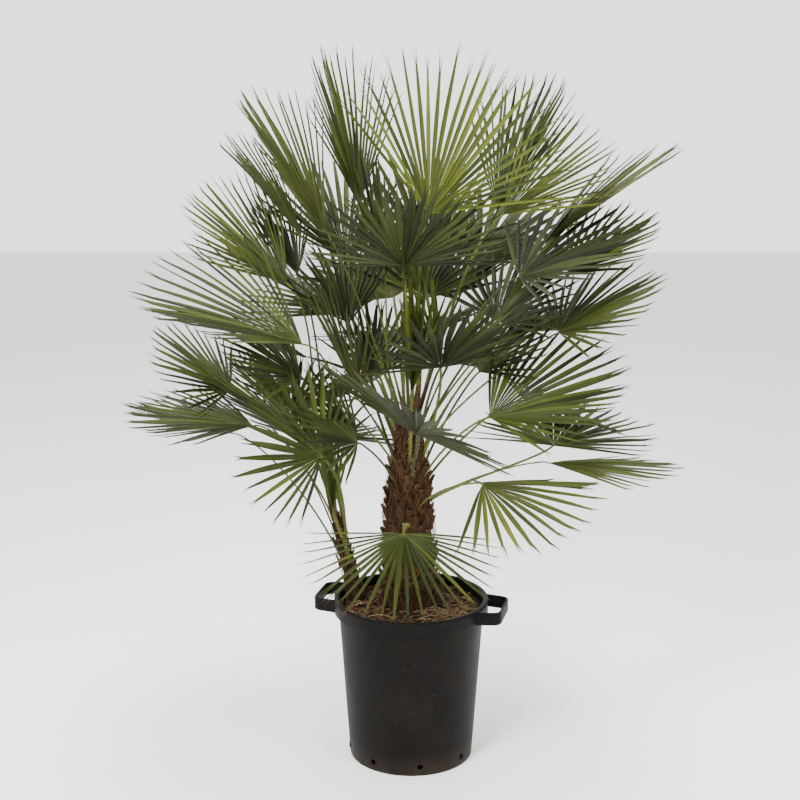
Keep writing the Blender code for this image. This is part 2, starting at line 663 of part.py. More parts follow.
def main():
    clear_scene()
    black = material("black_plastic", (0.019, 0.017, 0.016), 0.55)
    earth = material("bark_compost", (0.035, 0.022, 0.014), 0.95)
    bark = material("trunk_fibre", (0.16, 0.062, 0.028), 0.9)
    green = material("fan_leaf", (0.09, 0.15, 0.035), 0.55)
    pot = make_pot(black)
    handles = [make_handle(name, turn, black) for name, turn in HANDLE_TURNS.items()]
    soil = make_soil(earth)
    trunks, cutters = [], {}
    for key, (name, foot, path, top, girth) in TRUNKS.items():
        trunks.append(trunk_shell(name, foot, path, top, girth, STUB_COUNT[name], 0.0, bark))
        cutter = trunk_shell(f"{name}_clearance", foot, path, top, girth, STUB_COUNT[name], TRUNK_GAP)
        cutter.hide_render = True
        cutter.display_type = "WIRE"
        cutters[key] = cutter
    space = Space()
    for obj in [pot, soil] + handles + trunks:
        add_object(space, obj)
    fronds = [Frond(*row) for row in FRONDS] + back_fronds()
    placed = [frond for frond in fronds if place(frond, space)]
    counts = {}
    for frond in placed:
        tips = grow_leaflets(frond, space, counts)
        make_frond(frond, tips, green, cutters)
    print("fronds", len(placed), "leaflets by share", counts)


main()
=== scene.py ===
import math
import random

import bmesh
import bpy
import numpy as np
from mathutils import Matrix, Vector, noise


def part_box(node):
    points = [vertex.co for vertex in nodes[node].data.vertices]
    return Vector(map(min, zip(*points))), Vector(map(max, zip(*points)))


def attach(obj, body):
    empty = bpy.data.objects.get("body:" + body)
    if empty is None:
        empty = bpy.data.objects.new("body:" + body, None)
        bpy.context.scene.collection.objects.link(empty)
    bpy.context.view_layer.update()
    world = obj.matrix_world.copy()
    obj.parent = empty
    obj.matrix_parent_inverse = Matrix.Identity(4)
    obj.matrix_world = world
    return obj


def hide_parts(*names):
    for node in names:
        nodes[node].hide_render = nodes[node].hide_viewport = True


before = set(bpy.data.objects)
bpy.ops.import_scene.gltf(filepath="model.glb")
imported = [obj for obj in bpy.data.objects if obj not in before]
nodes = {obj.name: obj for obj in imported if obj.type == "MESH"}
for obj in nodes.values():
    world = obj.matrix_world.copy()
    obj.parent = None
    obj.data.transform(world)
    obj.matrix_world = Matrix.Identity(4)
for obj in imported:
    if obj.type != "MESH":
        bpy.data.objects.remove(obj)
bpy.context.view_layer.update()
bpy.ops.object.select_all(action="DESELECT")

# Sizes shared with the solids, in metres
POT_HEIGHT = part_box("pot")[1].z
RIM_RADIUS = 0.200
BASE_RADIUS = 0.160
NECK_RADIUS = 0.187
BAND_HEIGHT = 0.037
LIP_RADIUS = 0.186
WALL = 0.003
FLOOR = 0.005
SOIL_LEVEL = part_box("soil")[1].z
GAP = 0.0003
HOLE_COUNT = 8
HOLE_TURN = math.radians(-82)
HOLE_HEIGHT = 0.026
HOLE_RADIUS = 0.0065
HANDLE_REACH = 0.247
HANDLE_HALF_WIDTH = 0.074
HANDLE_STRAP = 0.006
HANDLE_DROP = 0.002
HANDLE_TURNS = {"pot_handle_right": math.radians(-14), "pot_handle_left": math.radians(166)}

# Trunks: foot, height, old leaf bases, path of the bend and girth by height, then the zone:
# the heights where petioles leave the trunk, and the hub heights that they serve
GOLDEN_TURN = math.radians(137.508)
STUB_LENGTH = 0.038
TRUNKS = {
    "main": {
        "node": "trunk_main", "foot": Vector((0.0, 0.03, SOIL_LEVEL + GAP)), "top": 0.52, "stubs": 42,
        "path": ((0.0, 0.0), (-0.015, -0.01), (0.0, -0.02)),
        "girth": ((0.0, 0.088), (0.05, 0.071), (0.14, 0.062), (0.27, 0.057),
                  (0.38, 0.046), (0.45, 0.038), (0.50, 0.026), (0.52, 0.012)),
        "zone": (0.19, 0.50, 0.66, 1.46),
    },
    "sucker": {
        "node": "trunk_sucker", "foot": Vector((-0.141, 0.05, SOIL_LEVEL + GAP)), "top": 0.25, "stubs": 8,
        "path": ((0.0, 0.0), (-0.030, -0.01), (-0.055, -0.03)),
        "girth": ((0.0, 0.026), (0.04, 0.021), (0.13, 0.019), (0.21, 0.017), (0.25, 0.009)),
        "zone": (0.10, 0.24, 0.80, 1.28),
    },
}

# Fronds, as in the solids: name, hub, direction of the middle leaflet, direction of the upper face,
# length, spread in degrees, leaflets, fold in degrees, then the shade painted into its tones, 0 bright to 4
# dark
LEAF_THICKNESS = 0.011
FUSED_SHARE = 0.36
FUSED_SHARE_SIDE = 0.22
SIDE_LENGTH = 0.75
PLEAT = 0.0045
ARRIVAL = 0.22
NUDGES = 200
SEED = 41
MAIN_FRONDS = (
    ("crown_front", (0.04, -0.06, 1.43), (0.37, 0.12, 0.92), (0, -1, 0.2), 0.435, 125, 21, 5, 1.0),
    ("crown_fore", (-0.02, -0.15, 1.32), (0, -0.66, 0.74), (0, 0.74, 0.66), 0.30, 200, 22, 5, 2.6),
    ("crown_left", (-0.13, 0.06, 1.44), (-0.20, 0.05, 0.97), (0.9, -0.4, 0.1), 0.42, 100, 18, 12, 1.1),
    ("high_left", (-0.21, -0.03, 1.39), (-0.50, -0.05, 0.84), (0.8, -0.25, 0.5), 0.41, 100, 18, 15, 1.0),
    ("high_left_back", (-0.27, 0.08, 1.355), (-0.64, 0.10, 0.76), (0.68, 0.25, 0.6), 0.34, 95, 15, 15, 1.3),
    ("crown_right", (0.225, 0.02, 1.42), (0.72, 0.05, 0.60), (-0.4, -0.6, 0.5), 0.34, 95, 16, 10, 1.0),
    ("crown_right_back", (0.21, 0.12, 1.42), (0.33, 0.2, 0.88), (-0.7, -0.5, 0.3), 0.39, 90, 15, 10, 2.2),
    ("far_right", (0.33, 0.06, 1.345), (0.80, 0.0, 0.54), (-0.55, 0.05, 0.8), 0.43, 100, 16, 15, 0.9),
    ("right_dark", (0.265, -0.05, 1.28), (0.88, 0.0, 0.38), (-0.42, -0.25, 0.82), 0.345, 180, 18, 10, 3.0),
    ("right_back", (0.39, 0.05, 1.265), (0.8, 0.1, 0.55), (-0.5, -0.3, 0.8), 0.29, 130, 15, 10, 1.3),
    ("right_up", (0.36, -0.06, 1.14), (0.83, 0.1, 0.50), (-0.5, -0.22, 0.8), 0.31, 180, 20, 5, 1.4),
    ("centre_dark", (0.20, -0.02, 1.16), (0.55, 0.3, 0.68), (-0.5, -0.5, 0.6), 0.27, 180, 17, 5, 3.1),
    ("right_wide", (0.19, -0.12, 0.94), (0.92, 0.05, 0.33), (-0.35, -0.40, 0.75), 0.385, 150, 20, 15, 1.7),
    ("right_mid", (0.37, 0.10, 0.81), (0.35, 0.9, 0.2), (-0.05, -0.2, 1), 0.31, 190, 19, 0, 1.6),
    ("right_far", (0.34, -0.10, 0.82), (1, -0.1, 0.0), (0.0, 0.12, 1), 0.345, 110, 16, -5, 1.0),
    ("right_low", (0.17, -0.22, 0.80), (1, -0.1, 0.0), (0, -0.1, 1), 0.32, 210, 20, -20, 1.2),
    ("low_front", (-0.02, -0.24, 0.68), (-0.03, -0.85, -0.45), (0, -0.45, 0.85), 0.30, 200, 21, -8, 1.9),
    ("centre_low", (0.07, -0.14, 1.07), (0.35, -0.6, 0.7), (-0.3, 0.5, 0.8), 0.28, 200, 18, 5, 2.6),
    ("trunk_front", (0.01, -0.20, 0.92), (-0.2, -0.8, 0.5), (0.5, 0.35, 0.8), 0.32, 210, 18, 5, 2.2),
    ("inner_left", (-0.155, -0.03, 1.155), (-0.25, 0.1, 0.95), (0.3, -0.85, 0.3), 0.25, 110, 15, 10, 3.2),
    ("inner_fold", (-0.13, -0.13, 1.00), (-0.42, -0.1, 0.88), (0.85, 0.1, 0.45), 0.31, 110, 15, 30, 2.4),
    ("inner_small", (-0.10, 0.06, 1.00), (0.1, 0.15, 0.97), (0.3, -0.9, 0.2), 0.22, 130, 14, 10, 3.0),
    ("spear_tall", (0.0, -0.07, 0.99), (0.0, -0.03, 1), (0.3, -1, 0), 0.32, 60, 9, 60, 1.2),
    ("spear_side", (0.065, -0.08, 1.06), (-0.12, 0.0, 0.98), (-0.4, -0.9, 0), 0.26, 60, 9, 60, 1.6),
    ("inner_low", (-0.13, -0.14, 0.88), (-0.75, -0.35, 0.55), (0.4, -0.45, 0.8), 0.27, 150, 16, 8, 2.1),
    ("inner_right", (0.17, 0.03, 1.02), (0.62, 0.1, 0.72), (-0.6, -0.5, 0.6), 0.27, 140, 16, 8, 2.3),
    ("inner_top", (0.03, 0.07, 1.20), (0.1, 0.1, 0.98), (0.1, -0.95, 0.1), 0.28, 150, 16, 5, 2.9),
    ("left_mid", (-0.27, -0.09, 1.03), (-0.8, -0.25, 0.5), (0.45, -0.4, 0.75), 0.25, 140, 15, 10, 1.9),
)
SUCKER_FRONDS = (
    ("left_wide", (-0.26, -0.20, 1.14), (-0.93, -0.10, 0.30), (0.3, -0.28, 0.9), 0.445, 125, 21, 22, 2.0),
    ("left_upper", (-0.31, 0.02, 1.25), (-0.67, 0.0, 0.70), (0.55, -0.50, 0.6), 0.345, 100, 18, 10, 1.6),
    ("left_dark", (-0.29, 0.12, 1.25), (-0.40, 0.2, 0.86), (0.8, -0.4, 0.3), 0.26, 100, 14, 10, 2.8),
    ("left_low", (-0.39, -0.12, 0.92), (-1, -0.05, 0.10), (0.15, -0.05, 1), 0.335, 130, 19, 5, 2.2),
    ("left_far", (-0.28, 0.08, 0.83), (-0.78, 0.05, 0.60), (0.6, -0.1, 0.8), 0.35, 120, 18, 10, 1.8),
    ("left_hang", (-0.22, -0.20, 0.86), (-0.62, -0.35, 0.7), (-0.1, -0.8, 0.5), 0.25, 250, 18, -8, 1.9),
    ("left_spear", (-0.19, -0.03, 0.68), (-0.08, 0, 1), (0.2, -1, 0), 0.23, 60, 7, 60, 1.5),
)
# Fronds behind, by rule: name, trunk, count, crown centre, petiole reach, azimuths, elevations, blade, seed
# Painted shade of the fronds behind, on the same 0 to 4 scale
BACK_PAINTED_SHADE = 2.0
BACK_FRONDS = (
    ("back", "main", 17, (0.0, 0.02, 0.93), (0.34, 0.46), (35, 150), (-8, 78), (0.30, 0.38), 7),
    ("back_left", "sucker", 5, (-0.19, 0.05, 0.72), (0.30, 0.40), (95, 200), (0, 60), (0.26, 0.33), 11),
)

# Leaf tones, upper faces from bright to deep, then undersides, tips, hearts and stalks.
# The upper tones, and the under tones, each run from painted light to painted shade
TONES = {
    "leaf_bright": (0.165, 0.195, 0.028),
    "leaf_fresh": (0.102, 0.128, 0.018),
    "leaf_green": (0.056, 0.076, 0.011),
    "leaf_deep": (0.027, 0.040, 0.007),
    "leaf_dark": (0.012, 0.019, 0.004),
    "under_pale": (0.120, 0.135, 0.045),
    "under_green": (0.064, 0.078, 0.020),
    "under_deep": (0.028, 0.036, 0.009),
    "tip_brown": (0.085, 0.048, 0.018),
    "heart_pale": (0.170, 0.180, 0.050),
    "stalk_green": (0.110, 0.135, 0.024),
    # Painted shade: a shaded copy of the stalk green
    "stalk_deep": (0.044, 0.058, 0.011),
    "stalk_base": (0.075, 0.034, 0.013),
    "spine_tan": (0.330, 0.240, 0.120),
}
# How far each kind of tone is taken down in this studio: its red and green, then its blue
SHADES = {
    "leaf": (0.488, 0.332), "under": (0.438, 0.298), "stalk": (0.604, 0.411),
    "heart": (0.405, 0.344), "tip": (0.675, 0.574), "spine": (0.675, 0.574),
}
TONE = {name: index for index, name in enumerate(TONES)}
UPPER = (TONE["leaf_bright"], TONE["leaf_dark"])
UNDER = (TONE["under_pale"], TONE["under_deep"])

# Fans that show together are one piece, by the first word of their names
GROUPS = {"back": "back", "left": "left", "right": "right",
          "crown": "crown", "high": "crown", "far": "crown"}

# Leaflets, and how far some fans are split towards the hub
FINER = 1.25
OPEN_SHARE = {"low_front": 0.60, "crown_front": 0.72, "left_hang": 0.75, "crown_right": 0.75}
USUAL_OPEN_SHARE = 0.92
FUSED_ROWS = 5
FREE_ROWS = 9
SPLIT_ROWS = 4
FUSED_RANGE = (0.74, 0.98)
SPLIT_RANGE = (0.74, 0.90)
SWELL = 0.95
SWELL_POWER = 0.7
TAPER = 0.66
TAPER_POWER = 1.9
NECK_WIDTH = 0.97
NECK_PINCH = 0.05
FOLD_DEGREES = 40
FOLD_CHANGE = (-26, 2)
TWIST_DEGREES = 16
SWAY = 0.016
ARCH = (0.004, 0.014)
LIMP_POWER = 2.2
TIP_SPREAD = (0.0012, 0.0045)
LEAF_SKIN = 0.0007
HOLLOW = 0.10
PALE_HEART_SPREAD = 1.2
DRY_TIP_SHARE = 0.62
SHORT_DRY_TIP_SHARE = 0.42

# Petioles and their spines
STALK_STEPS = 26
STALK_SIDES = 8
STALK_WIDTH = 0.0046
STALK_DEPTH = 0.0036
STALK_TAPER = 0.0014
STALK_THINNING = 0.0010
# Painted shade from which a frond's stalk takes the shaded green
SHADED_STALK_FROM = 2.1
BASE_FLARE = 0.0075
BASE_SWELL = 0.0030
BASE_LENGTH = 0.16
RIB_REACHES = (0.05, 0.13)
RIB_FADES = (1.0, 0.72, 0.08)
SPINE_LENGTHS = (0.0035, 0.0065)
SPINE_SPACING = (0.30, 0.95)
SPINE_SIDES = ((0, 1, 4), (1, 2, 4), (2, 3, 4), (3, 0, 4))

# What lies on the compost
DRY_ROOTS = 150
DRY_ROOTS_AT_RIGHT = 95
DRY_ROOT_REACH = 0.178

# Finishes
PLAIN_SPECULAR = 0.15
PLAIN_STOPS = (0.30, 0.72)
LEAF_ROUGHNESS = 0.52
LEAF_SPECULAR = 0.20
BLOTCH_SCALE = 14.0
BLOTCH = 0.20
VEIN_RELIEF = 0.35
FIBRE_ROUGHNESS = 0.92
FIBRE_SPECULAR = 0.1
FIBRE_STRETCH = 0.12
FIBRE_LEAN = (0.25, 0.18, 0.0)
FIBRE_STOPS = (0.36, 0.68)
POT_SPECULAR = 0.08
POT_DARK = (0.0026, 0.0021, 0.0016)
POT_LIGHT = (0.0066, 0.0052, 0.0038)
POT_STOPS = (0.35, 0.75)
POT_ROUGHNESS = (0.40, 0.66)
DUST = (0.120, 0.085, 0.055)
DUST_HEIGHT = 0.06
DUST_SHARE = 0.26
SPECK_STOPS = (0.66, 0.76)
SPECK_SHARE = 0.22
BLACK = (0, 0, 0)
WHITE = (1, 1, 1)
# Sockets of a colour Mix node
MIX_SHARE = 0
MIX_FIRST = 6
MIX_SECOND = 7
MIX_COLOUR = 2


def set_inputs(node, values):
    for name, value in values.items():
        node.inputs[name].default_value = value


def new_material(name, specular):
    """A Principled material, with its node tree and its shader."""
    mat = bpy.data.materials.new(name)
    mat.use_nodes = True
    shader = mat.node_tree.nodes["Principled BSDF"]
    set_inputs(shader, {"Specular IOR Level": specular})
    return mat, mat.node_tree, shader


def noise_texture(tree, vector, scale, detail):
    texture = tree.nodes.new("ShaderNodeTexNoise")
    set_inputs(texture, {"Scale": scale, "Detail": detail})
    tree.links.new(vector, texture.inputs["Vector"])
    return texture


def colour_ramp(tree, value, stops, dark, light):
    """Turns a value into a colour between two stops."""
    ramp = tree.nodes.new("ShaderNodeValToRGB")
    for element, stop, colour in zip(ramp.color_ramp.elements, stops, (dark, light)):
        element.position = stop
        element.color = (*colour, 1)
    tree.links.new(value, ramp.inputs["Fac"])
    return ramp


def add_relief(tree, shader, height, strength, distance):
    relief = tree.nodes.new("ShaderNodeBump")
    set_inputs(relief, {"Strength": strength, "Distance": distance})
    tree.links.new(height, relief.inputs["Height"])
    tree.links.new(relief.outputs["Normal"], shader.inputs["Normal"])


def map_range(tree, value, source, target):
    """Takes a value from one range to another."""
    node = tree.nodes.new("ShaderNodeMapRange")
    set_inputs(node, {"From Min": source[0], "From Max": source[1]})
    set_inputs(node, {"To Min": target[0], "To Max": target[1]})
    tree.links.new(value, node.inputs["Value"])
    return node.outputs["Result"]


def plain_material(name, colour, roughness, noise_scale, variation, bump):
    """A Principled material whose colour and relief vary with noise over Object coordinates."""
    mat, tree, shader = new_material(name, PLAIN_SPECULAR)
    set_inputs(shader, {"Roughness": roughness})
    place = tree.nodes.new("ShaderNodeTexCoord").outputs["Object"]
    grain = noise_texture(tree, place, noise_scale, 5.0)
    dark = [c * (1 - variation) for c in colour]
    light = [min(c * (1 + variation), 1) for c in colour]
    ramp = colour_ramp(tree, grain.outputs["Fac"], PLAIN_STOPS, dark, light)
    tree.links.new(ramp.outputs["Color"], shader.inputs["Base Color"])
    add_relief(tree, shader, grain.outputs["Fac"], bump, 0.001)
    return mat


def leaf_material(name):
    """Satin leaf in a named tone: fine veins follow the leaflet's own map, over a soft blotch."""
    shade, blue_shade = SHADES[name.split("_")[0]]
    red, green, blue = TONES[name]
    colour = (red * shade, green * shade, blue * blue_shade)
    mat = plain_material(name, colour, LEAF_ROUGHNESS, BLOTCH_SCALE, BLOTCH, VEIN_RELIEF)
    tree = mat.node_tree
    set_inputs(tree.nodes["Principled BSDF"], {"Specular IOR Level": LEAF_SPECULAR})
    veins = tree.nodes.new("ShaderNodeTexWave")
    veins.wave_profile = "SIN"
    veins.bands_direction = "X"
    set_inputs(veins, {"Scale": 1.4, "Distortion": 0.6})
    uv = tree.nodes.new("ShaderNodeUVMap")
    uv.uv_map = "along"
    tree.links.new(uv.outputs["UV"], veins.inputs["Vector"])
    tree.links.new(veins.outputs["Fac"], tree.nodes["Bump"].inputs["Height"])
    return mat


def new_object(name, data):
    """An object that holds the data, linked into the scene."""
    obj = bpy.data.objects.new(name, data)
    bpy.context.scene.collection.objects.link(obj)
    return obj


def raw_mesh(name, points, faces, mats):
    """A mesh of the points and faces as they are given."""
    mesh = bpy.data.meshes.new(name)
    mesh.from_pydata([tuple(p) for p in points], [], faces)
    for mat in mats:
        mesh.materials.append(mat)
    return mesh


def level_way(angle):
    """Level direction at an angle round the vertical."""
    return Vector((math.cos(angle), math.sin(angle), 0))


class Frond:
    """Where a frond stands: the hub where the petiole ends, its blade's directions and sizes, and its
    painted shade.
    """

    def __init__(self, trunk, name, hub, along, face, reach, spread, leaflets, fold, painted_shade=BACK_PAINTED_SHADE):
        self.trunk = trunk
        self.name = name
        self.hub = Vector(hub)
        self.along = Vector(along).normalized()
        face = Vector(face)
        self.face = (face - self.along * face.dot(self.along)).normalized()
        self.side = self.along.cross(self.face)
        self.reach = reach
        self.spread = math.radians(spread)
        self.leaflets = leaflets
        self.fold = math.radians(fold)
        self.painted_shade = painted_shade
        self.turn = 0.0
        self.lift = 0.0

    def direction(self, angle):
        side = self.side * math.cos(self.fold) * math.sin(angle)
        rise = self.face * math.sin(self.fold) * abs(math.sin(angle))
        return (self.along * math.cos(angle) + side + rise).normalized()

    def length(self, angle):
        return self.reach * (1 - (1 - SIDE_LENGTH) * math.sin(angle / 2) ** 2)

    def fused(self, angle):
        share = abs(angle) / (self.spread / 2)
        return self.length(angle) * (FUSED_SHARE + (FUSED_SHARE_SIDE - FUSED_SHARE) * share)


def back_fronds():
    """Fronds of the far side, stepped round within each crown's back."""
    found = []
    for prefix, trunk, count, centre, reach, azimuths, elevations, blade, seed in BACK_FRONDS:
        rng = random.Random(seed)
        for k in range(count):
            share = (k + 0.5) / count
            azimuth = math.radians(azimuths[0] + (k * 0.618034 % 1.0) * (azimuths[1] - azimuths[0]))
            elevation = math.radians(elevations[0] + share * (elevations[1] - elevations[0]))
            span = reach[0] + rng.random() * (reach[1] - reach[0])
            flat = level_way(azimuth)
            out = flat * math.cos(elevation) + Vector((0, 0, math.sin(elevation)))
            hub = Vector(centre) + out * span
            droop = math.radians(rng.uniform(-18, 4))
            lean = elevation + droop
            along = flat * math.cos(lean) + Vector((0, 0, math.sin(lean)))
            face = Vector((0, 0, math.cos(lean))) - flat * math.sin(lean)
            face += flat.cross(Vector((0, 0, 1))) * rng.uniform(-0.5, 0.5)
            size = blade[0] + rng.random() * (blade[1] - blade[0])
            found.append(Frond(trunk, f"{prefix}_{k + 1:02d}", hub, along, face, size,
                               rng.uniform(130, 190), 16 + k % 3, rng.uniform(0, 20)))
    return found


def nudge(frond, hub, attempt):
    """The small shift that the solids use when a frond has no room."""
    rng = random.Random(SEED + attempt)
    share = min(attempt, 1) * (0.25 + attempt / NUDGES)
    frond.turn = rng.uniform(-1, 1) * share
    frond.lift = rng.uniform(-0.05, 0.05) * share
    shift = Vector((rng.uniform(-0.015, 0.015), rng.uniform(-0.075, 0.075), rng.uniform(-0.015, 0.015)))
    frond.hub = hub + shift * share


def settle(frond):
    """Takes the nudge that puts the palm's first ridge where the solid has it."""
    mesh = nodes[f"frond_{frond.name}"].data
    points = np.array([v.co for v in mesh.vertices])
    first = -0.5 * frond.spread
    ridge = frond.direction(first) * frond.fused(first)
    ridge += frond.face * (PLEAT + frond.reach * LEAF_THICKNESS / 2)
    hub = frond.hub.copy()
    best = (1.0, 0)
    for attempt in range(NUDGES):
        nudge(frond, hub, attempt)
        away = np.abs(points - np.array(frond.hub + ridge)).sum(axis=1).min()
        best = min(best, (away, attempt))
    nudge(frond, hub, best[1])


def girth_at(girth, height):
    for (low, thick), (high, thin) in zip(girth, girth[1:]):
        if height <= high:
            share = (height - low) / (high - low)
            return thick + (thin - thick) * max(share, 0.0)
    return girth[-1][1]


def axis_at(trunk, height):
    share = height / trunk["top"]
    start, middle, end = (Vector((x, y, 0)) for x, y in trunk["path"])
    bend = start * (1 - share) ** 2 + middle * 2 * share * (1 - share) + end * share ** 2
    return trunk["foot"] + bend + Vector((0, 0, height))


def petiole_curve(frond, steps):
    """Cubic curve from inside the trunk to the hub, as in the solids."""
    trunk = TRUNKS[frond.trunk]
    low, high, hub_low, hub_high = trunk["zone"]
    share = min(max((frond.hub.z - hub_low) / (hub_high - hub_low), 0.0), 1.0)
    height = min(low + (high - low) * share + frond.lift, trunk["top"] - 0.02)
    axis = axis_at(trunk, height)
    out = frond.hub - axis
    azimuth = math.atan2(out.y, out.x) + frond.turn
    flat = level_way(azimuth)
    start = axis + flat * girth_at(trunk["girth"], height) * 0.35
    span = (frond.hub - start).length
    climb = max(frond.hub.z - start.z, 0.25 * span)
    first = start + flat * span * 0.13 + Vector((0, 0, climb * 0.42))
    second = frond.hub - frond.along * span * ARRIVAL
    points = []
    for k in range(steps + 1):
        t = k / steps
        points.append(start * (1 - t) ** 3 + first * 3 * t * (1 - t) ** 2
                      + second * 3 * t ** 2 * (1 - t) + frond.hub * t ** 3)
    return points


class Sheaf:
    """Points, faces, tones and the lengthwise map of one joined piece."""

    def __init__(self):
        self.points, self.quads, self.tones, self.maps = [], [], [], []
        self.count = 0

    def add(self, points, quads, tones, maps):
        self.points.append(np.asarray(points, float))
        self.quads.append(np.asarray(quads, int) + self.count)
        self.tones.append(np.asarray(tones, int))
        self.maps.append(np.asarray(maps, float))
        self.count += len(points)

    def piece(self, name, materials, smooth=True):
        points = np.concatenate(self.points)
        quads = np.concatenate(self.quads)
        tones = np.concatenate(self.tones)
        maps = np.concatenate(self.maps)
        mesh = bpy.data.meshes.new(name)
        mesh.vertices.add(len(points))
        mesh.vertices.foreach_set("co", points.astype(np.float32).ravel())
        mesh.loops.add(quads.size)
        mesh.loops.foreach_set("vertex_index", quads.astype(np.int32).ravel())
        mesh.polygons.add(len(quads))
        mesh.polygons.foreach_set("loop_start", np.arange(0, quads.size, 4, dtype=np.int32))
        mesh.polygons.foreach_set("material_index", tones.astype(np.int32))
        mesh.polygons.foreach_set("use_smooth", np.full(len(quads), smooth))
        for mat in materials:
            mesh.materials.append(mat)
        layer = mesh.uv_layers.new(name="along")
        layer.data.foreach_set("uv", maps[quads.ravel()].astype(np.float32).ravel())
        mesh.update(calc_edges=True)
        mesh.validate()
        return new_object(name, mesh)


def grid_quads(rows, columns, flip=False):
    """Quads of a grid of points, row by row."""
    first = (np.arange(rows - 1)[:, None] * columns + np.arange(columns - 1)[None, :]).ravel()
    quads = np.stack([first, first + 1, first + columns + 1, first + columns], axis=1)
    return quads[:, ::-1] if flip else quads


def ring_faces(start, spans, sides):
    """Quads between rings of points, ring by ring."""
    faces = []
    for i in range(spans):
        for j in range(sides):
            near, far = start + i * sides + j, start + i * sides + (j + 1) % sides
            faces.append((near, far, far + sides, near + sides))
    return faces


def strand_faces(start, steps):
    """Skin of a three-sided strand with closed ends."""
    end = start + steps * 3
    return ring_faces(start, steps, 3) + [(start, start + 2, start + 1), (end, end + 1, end + 2)]


def leaflet_steps(fused, length, split):
    """Distances along a leaflet: its fused part, its free part, then its two tips."""
    fused_steps = np.linspace(0.02, 1.0, FUSED_ROWS) * fused
    free_steps = fused + np.linspace(0, 1, FREE_ROWS + 1)[1:] * (length - fused) * split
    split_at = free_steps[-1]
    split_steps = split_at + np.linspace(0, 1, SPLIT_ROWS + 1)[1:] * (length - split_at)
    return np.concatenate([fused_steps, free_steps, split_steps]), split_at


def half_widths(steps, fused, beyond, half_angle):
    """Half width: it opens with the fan, swells past the fused part, then tapers."""
    width = np.minimum(steps, fused) * math.tan(half_angle)
    swell = 1 + SWELL * np.sin(math.pi * beyond) ** SWELL_POWER
    return width * swell * (1 - TAPER * beyond ** TAPER_POWER)


def leaflet(sheaf, frond, angle, half_angle, rng, tone, under, length_share, limp):
    """One leaflet: V-folded, fused to its neighbours near the hub, split in two at its tip."""
    along = np.array(frond.direction(angle))
    face = np.array(frond.face)
    side = np.cross(along, face)
    side /= np.linalg.norm(side)
    lift = np.cross(side, along)
    length = frond.length(angle) * length_share
    open_share = OPEN_SHARE.get(frond.name, USUAL_OPEN_SHARE)
    fused = frond.fused(angle) * rng.uniform(*FUSED_RANGE) * open_share
    steps, split_at = leaflet_steps(fused, length, rng.uniform(*SPLIT_RANGE))
    rows = len(steps)
    beyond = np.clip((steps - fused) / (length - fused), 0, 1)
    width = half_widths(steps, fused, beyond, half_angle)
    pinch = NECK_WIDTH - NECK_PINCH * np.clip(beyond * 5, 0, 1)
    opening = np.clip((steps - split_at) / (length - split_at), 0, 1)
    wide_at_split = width[FUSED_ROWS + FREE_ROWS - 1]
    fold = math.radians(FOLD_DEGREES) + math.radians(rng.uniform(*FOLD_CHANGE)) * np.clip(beyond * 3, 0, 1)
    twist = math.radians(rng.gauss(0, TWIST_DEGREES)) * beyond
    sway = rng.gauss(0, SWAY) * length * beyond ** 2
    arch = rng.gauss(*ARCH) * length * beyond ** 2
    centre = np.array(frond.hub)[None, :] + along[None, :] * steps[:, None]
    centre = centre + side[None, :] * sway[:, None] - lift[None, :] * arch[:, None]
    level = math.hypot(along[0], along[1])
    centre[:, 2] -= limp * level * length * beyond ** LIMP_POWER
    tipward = rng.uniform(*TIP_SPREAD)
    thick = LEAF_SKIN * (1 - opening)
    for sign in (-1, 1):
        mid_line = 0.5 * wide_at_split + opening * tipward
        half = 0.5 * wide_at_split * (1 - opening)
        inner = np.where(opening > 0, mid_line - half, 0.0)
        outer = np.where(opening > 0, mid_line + half, width * np.where(beyond > 0, pinch, 1.0))
        across = np.stack([outer, (outer + inner) / 2, inner], axis=1)
        height = across * np.tan(fold)[:, None]
        height[:, 1] -= HOLLOW * (outer - inner)
        flat = sign * across
        cos_t, sin_t = np.cos(twist)[:, None], np.sin(twist)[:, None]
        x = flat * cos_t - height * sin_t
        z = flat * sin_t + height * cos_t - PLEAT * 0.6
        top = centre[:, None, :] + side[None, None, :] * x[:, :, None] + lift[None, None, :] * z[:, :, None]
        low = top.copy()
        low[:, 1] -= lift[None, :] * thick[:, None]
        low[:, 2] -= lift[None, :] * 1.6 * thick[:, None]
        v = np.repeat(steps[:, None], 3, axis=1)
        u = np.repeat(np.array([[0.0, 3.0, 6.0]]), rows, axis=0) * sign + angle * 40
        maps = np.stack([u.ravel(), v.ravel() * 8], axis=1)
        top_tones, low_tones = leaflet_tones(frond, rng, rows, tone, under)
        sheaf.add(top.reshape(-1, 3), grid_quads(rows, 3, sign < 0), top_tones, maps)
        sheaf.add(low.reshape(-1, 3), grid_quads(rows, 3, sign > 0), low_tones, maps)


def leaflet_tones(frond, rng, rows, tone, under):
    """Tones of half a leaflet's upper and lower faces, with its pale heart and dry tip."""
    top = np.full((rows - 1, 2), tone)
    low = np.full((rows - 1, 2), under)
    if frond.spread > PALE_HEART_SPREAD:
        top[0, 1] = TONE["heart_pale"]
    dry = rng.random()
    if dry < DRY_TIP_SHARE:
        last = 1 if dry < SHORT_DRY_TIP_SHARE else 2
        top[-last:] = TONE["tip_brown"]
        low[-last:] = TONE["tip_brown"]
    return top.ravel(), low.ravel()


def tone_near(level, rng, spread, tones):
    """A tone of one kind near a level, where 0 is its brightest."""
    first, last = tones
    return first + int(round(min(max(rng.gauss(level, spread), 0), last - first)))


